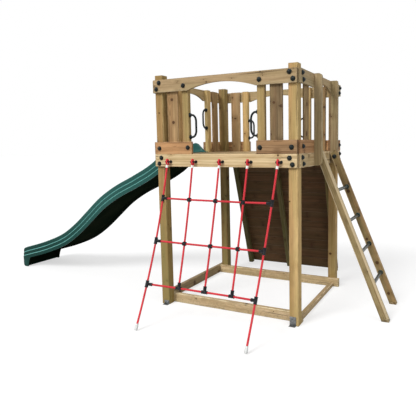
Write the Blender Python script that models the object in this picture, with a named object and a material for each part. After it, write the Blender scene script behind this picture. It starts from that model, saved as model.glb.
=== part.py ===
"""Garden climbing tower: raised deck, moulded slide, rung ladder, rope net and boarded climbing wall.

Metres, +Z up. Every piece hangs from one empty, tower_axis, which stands at the middle of the
tower on the ground, so that mirrored pieces have mirrored places. The empty itself is placed so
that the foot of the front left post lies on the world origin.
Seen from the net: left is -X (slide), right is +X (ladder), front is -Y (net), back is +Y (wall).
"""

import math

import bmesh
import bpy
from mathutils import Matrix, Vector

# Frame of the tower
POST = 0.085
TOWER_WIDTH = 1.45
TOWER_DEPTH = 1.31
POST_HEIGHT = 2.25
DECK_HEIGHT = 1.50
RAIL_TOP = 2.205
BOARD_WIDTH = 0.118
BOARD_THICK = 0.025
INFILL_THICK = 0.020
EASED_EDGE = 0.004
GAP = 0.0003

# Entrances, as half widths of their clear openings
FRONT_HALF = 0.352
SLIDE_HALF = 0.238
LADDER_HALF = 0.255
ARCH_RISE = 0.058
ARCH_STEPS = 14
UPRIGHT_WIDTH = 0.070
UPRIGHT_DEPTH = 0.045
LEFT_KICK_OVERHANG = 0.042
FRONT_INFILL_CENTRE = 0.530
SLIDE_INFILL_CENTRE = 0.455
LADDER_INFILL_CENTRE = 0.420

# Boards that stand proud of the ladder side, with rounded outer corners
ENTRY_BOARD_WIDTH = 0.070
ENTRY_BOARD_THICK = 0.040
ENTRY_BOARD_DROP = 0.115
ENTRY_BOARD_RADIUS = 0.030

# Ground frame
GROUND_RAIL_HEIGHT = 0.090
GROUND_RAIL_THICK = 0.045
GROUND_BATTEN = 0.045
RIGHT_BATTEN_INSET = 0.013

# Deck
DECK_THICK = 0.022
DECK_BOARDS = 11
DECK_BOARD_GAP = 0.006
JOIST_THICK = 0.045
JOIST_HEIGHT = 0.082
JOIST_PLACES = (-0.60, -0.20, 0.20, 0.60)

# Slide: the bed's run, as reach beyond the tower's left face and height above the ground
SLIDE_RUN = (
    (-0.040, 1.5070),
    (0.040, 1.5065),
    (0.120, 1.490),
    (0.200, 1.425),
    (0.270, 1.345),
    (0.400, 1.256),
    (0.617, 1.146),
    (0.924, 1.003),
    (1.138, 0.872),
    (1.345, 0.704),
    (1.536, 0.549),
    (1.771, 0.396),
    (2.103, 0.262),
    (2.575, 0.126),
)
SLIDE_ENTRY_STEPS = 9
SLIDE_ENTRY_LENGTH = 0.36
SLIDE_STEPS = 26
SLIDE_WALL = 0.006
SLIDE_FLANGE = 0.118
SLIDE_SKIRT = 0.029
SLIDE_RIM_START = -0.030
SLIDE_RIM_LENGTH = 0.140
SLIDE_SKIRT_START = 0.035
SLIDE_SKIRT_LENGTH = 0.100
SLIDE_NECK = 0.935
SLIDE_NECK_END = 0.105
APRON_HALF_WIDTH = 0.2505
APRON_TOP_LENGTH = 0.175
APRON_FOOT_LENGTH = 0.080
APRON_CORNER = 0.012

# Ladder
LADDER_RAIL_WIDTH = 0.070
LADDER_RAIL_THICK = 0.035
LADDER_LEAN = math.radians(22.2)
LADDER_TOP_HEIGHT = 1.494
LADDER_STANDOFF = 0.001
RUNG_HEIGHTS = (0.31, 0.59, 0.87, 1.15)
RUNG_RADIUS = 0.016
RUNG_FLANGE_RADIUS = 0.024
RUNG_FLANGE_THICK = 0.006
RUNG_SPIGOT_RADIUS = 0.012
RUNG_SOCKET_DEPTH = 0.014

# Climbing wall
WALL_FOOT_DEPTH = 1.100
WALL_SLOPE = 0.325
STRINGER_THICK = 0.045
STRINGER_RUN = 0.0678
STRINGER_PLACES = (-0.5775, -0.030, 0.5775)
WALL_HALF_WIDTH = 0.600
WALL_BOARD_THICK = 0.022
WALL_BOARDS = 12
WALL_FOOT_GAP = 0.020
WALL_GROOVE = 0.006
HOLD_RADIUS = 0.055
HOLD_HEIGHT = 0.042

# Rope net
NET_COLUMNS = 5
NET_PITCH = 0.283
NET_TAPER = 0.0305
NET_TAPER_EASE = 0.0115
NET_HINGE_DEPTH = -0.712
NET_HINGE_HEIGHT = 1.430
OUTER_ROPE_LEAN, OUTER_ROPE_FLARE = 0.285, 0.088
INNER_ROPE_LEAN, INNER_ROPE_FLARE = 0.225, 0.045
OUTER_ROWS = (1.095, 0.720, 0.362)
INNER_ROWS = (1.088, 0.702, 0.325)
ROPE_RADIUS = 0.009
EYE_RADIUS = 0.020
EYE_THICK = 0.008
HOOK_RADIUS = 0.005
HOOK_SIDE = 0.018
COLLAR_HEIGHT = 1.386
COLLAR_RADIUS = 0.0125
COLLAR_LENGTH = 0.024
SLEEVE_RADIUS = 0.0145
TIP_RADIUS = 0.014
TIP_LENGTH = 0.055
TIP_HEIGHT = 0.0312

# Grab handles
HANDLE_SPAN = 0.205
HANDLE_REACH = 0.068
HANDLE_BEND = 0.036
HANDLE_RADIUS = 0.0095
HANDLE_BASE_RADIUS = 0.021
FRONT_HANDLE_HEIGHT = 1.762
SLIDE_HANDLE_HEIGHT = 1.880

HALF_X = TOWER_WIDTH / 2
HALF_Y = TOWER_DEPTH / 2

MATERIALS = {
    "post_timber": ((0.43, 0.29, 0.13), 0.75, 0.0),
    "beam_timber": ((0.62, 0.48, 0.26), 0.72, 0.0),
    "rail_timber": ((0.49, 0.34, 0.17), 0.74, 0.0),
    "kick_timber": ((0.44, 0.25, 0.12), 0.76, 0.0),
    "infill_timber": ((0.36, 0.22, 0.11), 0.78, 0.0),
    "deck_timber": ((0.42, 0.29, 0.15), 0.80, 0.0),
    "wall_timber": ((0.20, 0.12, 0.06), 0.82, 0.0),
    "ladder_timber": ((0.47, 0.36, 0.17), 0.74, 0.0),
    "slide_plastic": ((0.012, 0.10, 0.085), 0.38, 0.0),
    "rung_plastic": ((0.05, 0.085, 0.075), 0.45, 0.0),
    "handle_plastic": ((0.012, 0.022, 0.022), 0.42, 0.0),
    "net_rope": ((0.62, 0.025, 0.03), 0.65, 0.0),
}


def make_material(name):
    """Principled material of one finish."""
    colour, roughness, metallic = MATERIALS[name]
    material = bpy.data.materials.get(name) or bpy.data.materials.new(name)
    material.use_nodes = True
    shader = material.node_tree.nodes["Principled BSDF"]
    shader.inputs["Base Color"].default_value = (*colour, 1.0)
    shader.inputs["Roughness"].default_value = roughness
    shader.inputs["Metallic"].default_value = metallic
    return material


def make_tower_axis():
    """Empty at the tower's middle; the front left post's foot then lies on the origin."""
    empty = bpy.data.objects.new("tower_axis", None)
    empty.location = (HALF_X - POST / 2, HALF_Y - POST / 2, 0.0)
    bpy.context.scene.collection.objects.link(empty)
    return empty


def add_object(name, bm, material, parent, place=(0.0, 0.0, 0.0), smooth=False):
    """Turn a bmesh into a named object under the tower's axis."""
    bmesh.ops.recalc_face_normals(bm, faces=bm.faces)
    mesh = bpy.data.meshes.new(name)
    bm.to_mesh(mesh)
    bm.free()
    if smooth:
        mesh.shade_smooth()
        mesh.set_sharp_from_angle(angle=math.radians(35))
    obj = bpy.data.objects.new(name, mesh)
    if material is not None:
        obj.data.materials.append(make_material(material))
    obj.location = place
    obj.parent = parent
    bpy.context.scene.collection.objects.link(obj)
    return obj


def add_cutter(name, bm, parent, place=(0.0, 0.0, 0.0)):
    """Guide solid of a Boolean: shown as wire and left out of the part."""
    obj = add_object(name, bm, None, parent, place)
    obj.hide_render = True
    obj.display_type = "WIRE"
    return obj


def boolean(obj, tool, operation):
    """Live Boolean of one object by another."""
    modifier = obj.modifiers.new(f"{operation.lower()}_{tool.name}", "BOOLEAN")
    modifier.operation = operation
    modifier.solver = "EXACT"
    modifier.object = tool


def eased_box(bm, low, high, long_axis):
    """Planed timber between two corners, with its four long edges eased."""
    low, high = Vector(low), Vector(high)
    verts = bmesh.ops.create_cube(bm, size=1.0)["verts"]
    bmesh.ops.scale(bm, vec=high - low, verts=verts)
    bmesh.ops.translate(bm, vec=(low + high) / 2, verts=verts)
    edges = {edge for vert in verts for edge in vert.link_edges}
    long_edges = []
    for edge in edges:
        direction = edge.verts[1].co - edge.verts[0].co
        if abs(direction[long_axis]) > 0.5 * direction.length:
            long_edges.append(edge)
    bmesh.ops.bevel(bm, geom=long_edges, offset=EASED_EDGE, segments=1, profile=0.5,
                    affect="EDGES", material=-1)


def board(name, low, high, material, axis):
    """One straight board or post, given by its two opposite corners."""
    size = [abs(b - a) for a, b in zip(low, high)]
    low, high = [min(a, b) for a, b in zip(low, high)], [max(a, b) for a, b in zip(low, high)]
    middle = (Vector(low) + Vector(high)) / 2
    bm = bmesh.new()
    eased_box(bm, Vector(low) - middle, Vector(high) - middle, size.index(max(size)))
    return add_object(name, bm, material, axis, middle)


def extrude_outline(points, thickness):
    """Solid of a flat outline in XY, standing from z = 0 up to its thickness."""
    bm = bmesh.new()
    face = bm.faces.new([bm.verts.new((x, y, 0.0)) for x, y in points])
    top = bmesh.ops.extrude_face_region(bm, geom=[face])["geom"]
    verts = [item for item in top if isinstance(item, bmesh.types.BMVert)]
    bmesh.ops.translate(bm, vec=(0.0, 0.0, thickness), verts=verts)
    return bm


def lay_outline(bm, across, up, out):
    """Turn an extruded outline so that its X, Y and Z run along the given directions."""
    turn = Matrix((Vector(across), Vector(up), Vector(out))).transposed()
    bmesh.ops.transform(bm, matrix=turn.to_4x4(), verts=bm.verts)


def make_posts(axis):
    """Four corner posts, one at each corner, standing on the ground."""
    for side, sx in (("left", -1), ("right", 1)):
        for end, sy in (("front", -1), ("back", 1)):
            low = (sx * HALF_X, sy * HALF_Y, 0.0)
            high = (sx * (HALF_X - POST), sy * (HALF_Y - POST), POST_HEIGHT)
            board(f"post_{end}_{side}", low, high, "post_timber", axis)


def make_ground_frame(axis):
    """Rails on the ground: front and back inside the posts, left outside, right a batten."""
    inside = HALF_Y - POST - GAP
    outside = HALF_X + GAP + GROUND_RAIL_THICK
    top = GROUND_RAIL_HEIGHT
    board("ground_rail_front", (-outside, -inside, 0.0),
          (HALF_X, -inside + GROUND_RAIL_THICK, top), "rail_timber", axis)
    board("ground_rail_back", (-HALF_X + GAP, inside, 0.0),
          (outside, inside - GROUND_RAIL_THICK, top), "rail_timber", axis)
    butt = inside - GROUND_RAIL_THICK - GAP
    board("ground_rail_left", (-outside, -butt, 0.0),
          (-HALF_X - GAP, HALF_Y, top), "rail_timber", axis)
    outer = HALF_X - RIGHT_BATTEN_INSET
    board("ground_rail_right", (outer - GROUND_BATTEN, -butt, 0.0),
          (outer, butt, GROUND_BATTEN), "rail_timber", axis)


def make_floor_beams(axis):
    """Four boards round the deck; the front one carries the net's hooks."""
    low = DECK_HEIGHT - BOARD_WIDTH
    for end, sy in (("front", -1), ("back", 1)):
        beam = board(f"floor_beam_{end}", (-HALF_X, sy * (HALF_Y + BOARD_THICK), low),
                     (HALF_X, sy * (HALF_Y + GAP), DECK_HEIGHT), "beam_timber", axis)
        if end == "front":
            boolean(beam, make_net_hooks(axis), "UNION")
    for side, sx in (("left", -1), ("right", 1)):
        board(f"floor_beam_{side}", (sx * (HALF_X + BOARD_THICK), -HALF_Y + GAP, low),
              (sx * (HALF_X + GAP), HALF_Y - GAP, DECK_HEIGHT), "beam_timber", axis)


def make_net_hooks(axis):
    """Bent rods screwed into the front beam, each lying through one eye of the net."""
    bm = bmesh.new()
    face = -HALF_Y - BOARD_THICK / 2
    for index in range(NET_COLUMNS):
        x = net_column(index, 0.0)
        corner = Vector((x + HOOK_SIDE, NET_HINGE_DEPTH, NET_HINGE_HEIGHT))
        path = [Vector((x + HOOK_SIDE, face, NET_HINGE_HEIGHT))]
        for step in range(5):
            angle = math.radians(90 * step / 4)
            bend = Vector((math.cos(angle) - 1, 1 - math.sin(angle), 0.0))
            path.append(corner + bend * HOOK_RADIUS * 1.6)
        path.append(Vector((x - HOOK_SIDE, NET_HINGE_DEPTH, NET_HINGE_HEIGHT)))
        sweep(bm, path, [HOOK_RADIUS] * len(path), 8)
    return add_cutter("net_hook_rods", bm, axis)


def arched_outline(length, half_span):
    """Outline of a top rail whose lower edge rises in one circular arch over the entrance."""
    radius = (half_span ** 2 + ARCH_RISE ** 2) / (2 * ARCH_RISE)
    sweep_angle = math.asin(half_span / radius)
    points = [(-length / 2, 0.0), (-length / 2, -BOARD_WIDTH)]
    for step in range(ARCH_STEPS + 1):
        angle = sweep_angle * (2 * step / ARCH_STEPS - 1)
        drop = radius * (1 - math.cos(angle))
        points.append((radius * math.sin(angle), -BOARD_WIDTH + ARCH_RISE - drop))
    points += [(length / 2, -BOARD_WIDTH), (length / 2, 0.0)]
    return points


def make_top_rails(axis):
    """Four arched rails that tie the post tops together."""
    thick = BOARD_THICK - GAP
    for end, sy in (("front", -1), ("back", 1)):
        bm = extrude_outline(arched_outline(TOWER_WIDTH, FRONT_HALF - 0.007), thick)
        lay_outline(bm, (1, 0, 0), (0, 0, 1), (0, -1, 0))
        y = -HALF_Y - GAP if sy < 0 else HALF_Y + BOARD_THICK
        add_object(f"top_rail_{end}", bm, "rail_timber", axis, (0.0, y, RAIL_TOP))
    for side, sx, half in (("left", -1, SLIDE_HALF), ("right", 1, LADDER_HALF)):
        bm = extrude_outline(arched_outline(TOWER_DEPTH - 2 * GAP, half), thick)
        lay_outline(bm, (0, 1, 0), (0, 0, 1), (1, 0, 0))
        x = HALF_X + GAP if sx > 0 else -HALF_X - BOARD_THICK
        add_object(f"top_rail_{side}", bm, "rail_timber", axis, (x, 0.0, RAIL_TOP))


def make_kick_boards(axis):
    """Low boards on both sides of each entrance, standing on the floor beams."""
    low, high = DECK_HEIGHT + GAP, DECK_HEIGHT + BOARD_WIDTH
    for end, sy in (("front", -1), ("back", 1)):
        for side, sx in (("left", -1), ("right", 1)):
            inner = FRONT_HALF
            if (end, side) == ("front", "left"):
                inner -= LEFT_KICK_OVERHANG
            board(f"kick_board_{end}_{side}", (sx * HALF_X, sy * (HALF_Y + BOARD_THICK), low),
                  (sx * inner, sy * (HALF_Y + GAP), high), "kick_timber", axis)
    for side, sx, half in (("slide", -1, SLIDE_HALF), ("ladder", 1, LADDER_HALF)):
        for end, sy in (("front", -1), ("back", 1)):
            board(f"kick_board_{side}_{end}", (sx * (HALF_X + BOARD_THICK), sy * half, low),
                  (sx * (HALF_X + GAP), sy * (HALF_Y - GAP), high), "kick_timber", axis)


def make_uprights(axis):
    """Uprights inside the rails at the net, wall and slide entrances, standing on the deck."""
    low = DECK_HEIGHT + GAP
    for end, sy in (("front", -1), ("back", 1)):
        for side, sx in (("left", -1), ("right", 1)):
            board(f"upright_{end}_{side}", (sx * FRONT_HALF, sy * (HALF_Y - GAP), low),
                  (sx * (FRONT_HALF + UPRIGHT_WIDTH), sy * (HALF_Y - UPRIGHT_DEPTH), RAIL_TOP),
                  "post_timber", axis)
    for end, sy in (("front", -1), ("back", 1)):
        board(f"upright_slide_{end}", (-HALF_X + GAP, sy * SLIDE_HALF, low),
              (-HALF_X + UPRIGHT_DEPTH, sy * (SLIDE_HALF + UPRIGHT_WIDTH), RAIL_TOP),
              "post_timber", axis)


def make_infill_boards(axis):
    """One upright board in the middle of each bay, behind the rail and the kick board."""
    low, half = DECK_HEIGHT + GAP, BOARD_WIDTH / 2
    for end, sy in (("front", -1), ("back", 1)):
        for side, sx in (("left", -1), ("right", 1)):
            x = sx * FRONT_INFILL_CENTRE
            board(f"infill_board_{end}_{side}", (x - half, sy * (HALF_Y - GAP), low),
                  (x + half, sy * (HALF_Y - INFILL_THICK), RAIL_TOP), "infill_timber", axis)
    for side, sx, centre in (("slide", -1, SLIDE_INFILL_CENTRE),
                             ("ladder", 1, LADDER_INFILL_CENTRE)):
        for end, sy in (("front", -1), ("back", 1)):
            y = sy * centre
            board(f"infill_board_{side}_{end}", (sx * (HALF_X - GAP), y - half, low),
                  (sx * (HALF_X - INFILL_THICK), y + half, RAIL_TOP), "infill_timber", axis)


def make_entry_boards(axis):
    """Two boards edge-on outside the ladder entrance, their outer corners rounded."""
    length = RAIL_TOP - DECK_HEIGHT + ENTRY_BOARD_DROP
    width, radius = ENTRY_BOARD_WIDTH, ENTRY_BOARD_RADIUS
    points = [(0.0, 0.0), (0.0, -length)]
    for centre_y, start in ((-length + radius, -90), (-radius, 0)):
        for step in range(6):
            angle = math.radians(start + 90 * step / 5)
            points.append((width - radius + radius * math.cos(angle),
                           centre_y + radius * math.sin(angle)))
    x = HALF_X + BOARD_THICK + GAP
    for end, sy in (("front", -1), ("back", 1)):
        bm = extrude_outline(points, ENTRY_BOARD_THICK)
        lay_outline(bm, (1, 0, 0), (0, 0, 1), (0, -1, 0))
        y = -LADDER_HALF if sy < 0 else LADDER_HALF + ENTRY_BOARD_THICK
        add_object(f"entry_board_{end}", bm, "rail_timber", axis, (x, y, RAIL_TOP))


def make_deck(axis):
    """Deck boards laid left to right on four joists, notched round the posts."""
    x, y = HALF_X - GAP, HALF_Y - GAP
    nx, ny = HALF_X - POST - GAP, HALF_Y - POST - GAP
    outline = [(-nx, -y), (nx, -y), (nx, -ny), (x, -ny), (x, ny), (nx, ny),
               (nx, y), (-nx, y), (-nx, ny), (-x, ny), (-x, -ny), (-nx, -ny)]
    bm = extrude_outline(outline, DECK_THICK)
    deck = add_object("deck", bm, "deck_timber", axis, (0.0, 0.0, DECK_HEIGHT - DECK_THICK))
    joists = bmesh.new()
    for place in JOIST_PLACES:
        eased_box(joists, (place - JOIST_THICK / 2, -y, -JOIST_HEIGHT),
                  (place + JOIST_THICK / 2, y, DECK_THICK / 2), 1)
    boolean(deck, add_cutter("deck_joists", joists, axis,
                             (0.0, 0.0, DECK_HEIGHT - DECK_THICK)), "UNION")
    slots = bmesh.new()
    pitch = TOWER_DEPTH / DECK_BOARDS
    for index in range(1, DECK_BOARDS):
        middle = -HALF_Y + index * pitch
        slot = bmesh.ops.create_cube(slots, size=1.0)["verts"]
        bmesh.ops.scale(slots, vec=(TOWER_WIDTH + 0.1, DECK_BOARD_GAP, DECK_THICK + 0.003),
                        verts=slot)
        bmesh.ops.translate(slots, vec=(0.0, middle, DECK_THICK / 2 + 0.001), verts=slot)
    boolean(deck, add_cutter("deck_slots", slots, axis,
                             (0.0, 0.0, DECK_HEIGHT - DECK_THICK)), "DIFFERENCE")


def smooth_step(value):
    """0 below 0, 1 above 1, and an even S between."""
    value = min(max(value, 0.0), 1.0)
    return value * value * (3 - 2 * value)


def slide_height(reach):
    """Height and slope of the bed at a reach, on one smooth cubic through SLIDE_RUN."""
    run = SLIDE_RUN
    slopes = [(run[i + 1][1] - run[i][1]) / (run[i + 1][0] - run[i][0])
              for i in range(len(run) - 1)]
    tangents = [slopes[0]]
    tangents += [(slopes[i] + slopes[i + 1]) / 2 for i in range(len(slopes) - 1)]
    tangents.append(slopes[-1])
    index = max(i for i in range(len(run) - 1) if run[i][0] <= reach or i == 0)
    (x0, z0), (x1, z1) = run[index], run[index + 1]
    width = x1 - x0
    t = (reach - x0) / width
    m0, m1 = tangents[index] * width, tangents[index + 1] * width
    height = (z0 * (2 * t ** 3 - 3 * t ** 2 + 1) + m0 * (t ** 3 - 2 * t ** 2 + t)
              + z1 * (3 * t ** 2 - 2 * t ** 3) + m1 * (t ** 3 - t ** 2))
    slope = (z0 * (6 * t ** 2 - 6 * t) + m0 * (3 * t ** 2 - 4 * t + 1)
             + z1 * (6 * t - 6 * t ** 2) + m1 * (3 * t ** 2 - 2 * t)) / width
    return height, slope


def slide_section():
    """Half section of the slide, from the bed's middle over the rim and back underneath.

    Each point is (half width, height above the bed, kind): top points rise with the rim,
    skirt points hang below the bed, and under points lie one wall thickness inside.
    """
    flange, wall = SLIDE_FLANGE, SLIDE_WALL
    top = [(0.100, 0.0), (0.176, 0.0), (0.197, 0.012), (0.208, 0.040), (0.214, flange - 0.014),
           (0.219, flange - 0.003), (0.226, flange), (0.234, flange), (0.240, flange - 0.006)]
    outer = [(0.240, 0.076), (0.2455, 0.072), (0.2455, 0.034), (0.251, 0.030)]
    under = [(0.245, 0.024), (0.2395, 0.030), (0.2395, 0.066), (0.234, 0.072),
             (0.234, flange - 0.012), (0.227, flange - wall), (0.220, flange - 0.018),
             (0.214, 0.040), (0.201, 0.006), (0.178, -wall), (0.100, -wall)]
    section = [(y, n, "top") for y, n in top + outer]
    section += [(0.251, 0.0, "skirt"), (0.245, 0.0, "skirt")]
    section += [(y, n, "under") for y, n in under]
    return section


def slide_ring(reach, half, last):
    """One closed cross-section of the slide at a reach, in tower coordinates."""
    height, slope = slide_height(reach)
    lean = math.atan(slope) * (0.0 if last else 1.0)
    rim = smooth_step((reach - SLIDE_RIM_START) / SLIDE_RIM_LENGTH)
    drop = smooth_step((reach - SLIDE_SKIRT_START) / SLIDE_SKIRT_LENGTH)
    neck = SLIDE_NECK + (1 - SLIDE_NECK) * smooth_step((reach - SLIDE_SKIRT_START)
                                                       / (SLIDE_NECK_END - SLIDE_SKIRT_START))
    bottom = -SLIDE_SKIRT * drop - SLIDE_WALL * (1 - drop)
    ring = []
    for y, n, kind in half + [(-y, n, kind) for y, n, kind in reversed(half)]:
        if kind == "top":
            offset = n * rim
        elif kind == "under":
            offset = n * rim - SLIDE_WALL * (1 - rim) if n > -SLIDE_WALL else n
        else:
            offset = bottom
        ring.append(Vector((-HALF_X - reach - offset * -math.sin(lean), y * neck,
                            height + offset * math.cos(lean))))
    return ring


def make_slide(axis):
    """Wavy moulded slide: thin-walled bed, ribbed side walls, rolled rims and a foot."""
    half = slide_section()
    first, final = SLIDE_RUN[0][0], SLIDE_RUN[-1][0]
    reaches = [first + SLIDE_ENTRY_LENGTH * index / SLIDE_ENTRY_STEPS
               for index in range(SLIDE_ENTRY_STEPS)]
    start = first + SLIDE_ENTRY_LENGTH
    reaches += [start + (final - start) * index / SLIDE_STEPS for index in range(SLIDE_STEPS + 1)]
    reaches.insert(-1, final - 0.020)
    bm = bmesh.new()
    rings = []
    for reach in reaches:
        ring = slide_ring(reach, half, reach == final)
        rings.append([bm.verts.new(point) for point in ring])
    for before, after in zip(rings, rings[1:]):
        for index, vert in enumerate(before):
            follow = (index + 1) % len(before)
            bm.faces.new((vert, before[follow], after[follow], after[index]))
    bm.faces.new(rings[0])
    bm.faces.new(rings[-1])
    slide = add_object("slide", bm, "slide_plastic", axis, smooth=True)
    boolean(slide, make_slide_apron(axis), "UNION")


def make_slide_apron(axis):
    """Downturned end of the slide: a front wall and two side walls that reach the ground."""
    wall, end = SLIDE_WALL, SLIDE_RUN[-1][0]
    front, steps = -HALF_X - end, 4

    def under_bed(length, drop):
        reaches = [end - length + length * index / steps for index in range(steps + 1)]
        return [(-HALF_X - reach, slide_height(reach)[0] - drop) for reach in reaches]

    outer = under_bed(APRON_TOP_LENGTH, wall / 2)
    for step in range(4):
        angle = math.radians(180 + 90 * step / 3)
        outer.append((front + APRON_CORNER * (1 + math.cos(angle)),
                      APRON_CORNER * (1 + math.sin(angle))))
    outer.append((front + APRON_FOOT_LENGTH - APRON_CORNER, 0.0))
    outer.append((front + APRON_FOOT_LENGTH, APRON_CORNER))
    inner = [(x + wall, z) for x, z in under_bed(APRON_TOP_LENGTH + 0.05, 2.2 * wall)]
    inner += [(front + wall, -0.05), (front + APRON_TOP_LENGTH + 0.05, -0.05)]
    walls = extrude_outline(outer, 2 * APRON_HALF_WIDTH)
    lay_outline(walls, (1, 0, 0), (0, 0, 1), (0, -1, 0))
    apron = add_cutter("slide_apron_walls", walls, axis, (0.0, APRON_HALF_WIDTH, 0.0))
    hollow = extrude_outline(inner, 2 * (APRON_HALF_WIDTH - wall))
    lay_outline(hollow, (1, 0, 0), (0, 0, 1), (0, -1, 0))
    boolean(apron, add_cutter("slide_apron_hollow", hollow, axis,
                              (0.0, APRON_HALF_WIDTH - wall, 0.0)), "DIFFERENCE")
    return apron


def ladder_point(height, across):
    """Point on a ladder rail: across is 0 on its inner edge and 1 on its outer edge."""
    x = HALF_X + BOARD_THICK + LADDER_STANDOFF + (LADDER_TOP_HEIGHT - height) * math.tan(LADDER_LEAN)
    return x + across * LADDER_RAIL_WIDTH / math.cos(LADDER_LEAN)


def make_ladder(axis):
    """Two leaning rails bolted between the entry boards, with four rungs in blind sockets."""
    inner_top = (ladder_point(LADDER_TOP_HEIGHT, 0.0), LADDER_TOP_HEIGHT)
    outer_top = (inner_top[0] + LADDER_RAIL_WIDTH * math.cos(LADDER_LEAN),
                 inner_top[1] + LADDER_RAIL_WIDTH * math.sin(LADDER_LEAN))
    outline = [inner_top, (ladder_point(0.0, 0.0), 0.0), (ladder_point(0.0, 1.0) - 0.012, 0.0),
               (ladder_point(0.014, 1.0), 0.014), outer_top]
    outside = LADDER_HALF - GAP
    for end, sy in (("front", -1), ("back", 1)):
        bm = extrude_outline(outline, LADDER_RAIL_THICK)
        lay_outline(bm, (1, 0, 0), (0, 0, 1), (0, -1, 0))
        y = -outside + LADDER_RAIL_THICK if sy < 0 else outside
        rail = add_object(f"ladder_rail_{end}", bm, "ladder_timber", axis, (0.0, y, 0.0))
        boolean(rail, make_rung_sockets(axis, end), "DIFFERENCE")
    for number, height in enumerate(RUNG_HEIGHTS, start=1):
        make_rung(axis, f"rung_{number}", height)


def make_rung_sockets(axis, end):
    """Blind holes in the inner face of one ladder rail."""
    bm = bmesh.new()
    inner = LADDER_HALF - GAP - LADDER_RAIL_THICK
    sign = -1 if end == "front" else 1
    radius = (RUNG_SPIGOT_RADIUS + GAP) / math.cos(math.pi / 12)
    for height in RUNG_HEIGHTS:
        middle = (ladder_point(height, 0.5), sign * inner, height)
        place = Matrix.Translation(middle) @ Matrix.Rotation(math.radians(90), 4, "X")
        bmesh.ops.create_cone(bm, cap_ends=True, segments=12, radius1=radius, radius2=radius,
                              depth=2 * RUNG_SOCKET_DEPTH, matrix=place)
    return add_cutter(f"rung_sockets_{end}", bm, axis)


def make_rung(axis, name, height):
    """One turned rung: tube, a flange against each rail and a spigot in each socket."""
    inner = LADDER_HALF - GAP - LADDER_RAIL_THICK - GAP
    profile = [(inner + RUNG_SOCKET_DEPTH - 0.001, RUNG_SPIGOT_RADIUS),
               (inner, RUNG_SPIGOT_RADIUS), (inner, RUNG_FLANGE_RADIUS),
               (inner - RUNG_FLANGE_THICK, RUNG_FLANGE_RADIUS),
               (inner - RUNG_FLANGE_THICK - 0.004, RUNG_RADIUS)]
    profile += [(-y, radius) for y, radius in reversed(profile)]
    bm = bmesh.new()
    sides = 12
    rings = []
    for y, radius in profile:
        ring = []
        for side in range(sides):
            angle = 2 * math.pi * (side + 0.5) / sides
            ring.append(bm.verts.new((radius * math.cos(angle), y, radius * math.sin(angle))))
        rings.append(ring)
    close_rings(bm, rings)
    add_object(name, bm, "rung_plastic", axis, (ladder_point(height, 0.5), 0.0, height),
               smooth=True)


def close_rings(bm, rings):
    """Skin a row of rings of equal count and cap both ends."""
    for before, after in zip(rings, rings[1:]):
        for index, vert in enumerate(before):
            follow = (index + 1) % len(before)
            bm.faces.new((vert, before[follow], after[follow], after[index]))
    bm.faces.new(rings[0])
    bm.faces.new(rings[-1])


def sweep(bm, path, radii, sides):
    """Closed round tube along a path, with a radius at each point."""
    path = [Vector(point) for point in path]
    rings = []
    normal = None
    for index, point in enumerate(path):
        ahead = path[min(index + 1, len(path) - 1)] - path[max(index - 1, 0)]
        tangent = ahead.normalized()
        if normal is None:
            helper = Vector((0, 0, 1)) if abs(tangent.z) < 0.9 else Vector((1, 0, 0))
            normal = tangent.cross(helper).normalized()
        normal = (normal - tangent * normal.dot(tangent)).normalized()
        binormal = tangent.cross(normal)
        ring = []
        for side in range(sides):
            angle = 2 * math.pi * (side + 0.5) / sides
            spoke = normal * math.cos(angle) + binormal * math.sin(angle)
            ring.append(bm.verts.new(point + spoke * radii[index]))
        rings.append(ring)
    close_rings(bm, rings)


def wall_line(height):
    """Depth of the climbing wall's inner line at a height."""
    return WALL_FOOT_DEPTH - WALL_SLOPE * height


def make_stringers(axis):
    """Three leaning bearers, notched under and against the back floor beam."""
    beam_face = HALF_Y + BOARD_THICK + GAP
    beam_low = DECK_HEIGHT - BOARD_WIDTH - GAP
    notch_top = (WALL_FOOT_DEPTH + STRINGER_RUN - beam_face) / WALL_SLOPE
    outline = [(wall_line(0.0), 0.0), (wall_line(0.0) + STRINGER_RUN, 0.0),
               (beam_face, notch_top), (beam_face, beam_low), (wall_line(beam_low), beam_low)]
    for name, place in zip(("left", "middle", "right"), STRINGER_PLACES):
        bm = extrude_outline(outline, STRINGER_THICK)
        lay_outline(bm, (0, 1, 0), (0, 0, 1), (1, 0, 0))
        add_object(f"wall_stringer_{name}", bm, "wall_timber", axis,
                   (place - STRINGER_THICK / 2, 0.0, 0.0))


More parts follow.
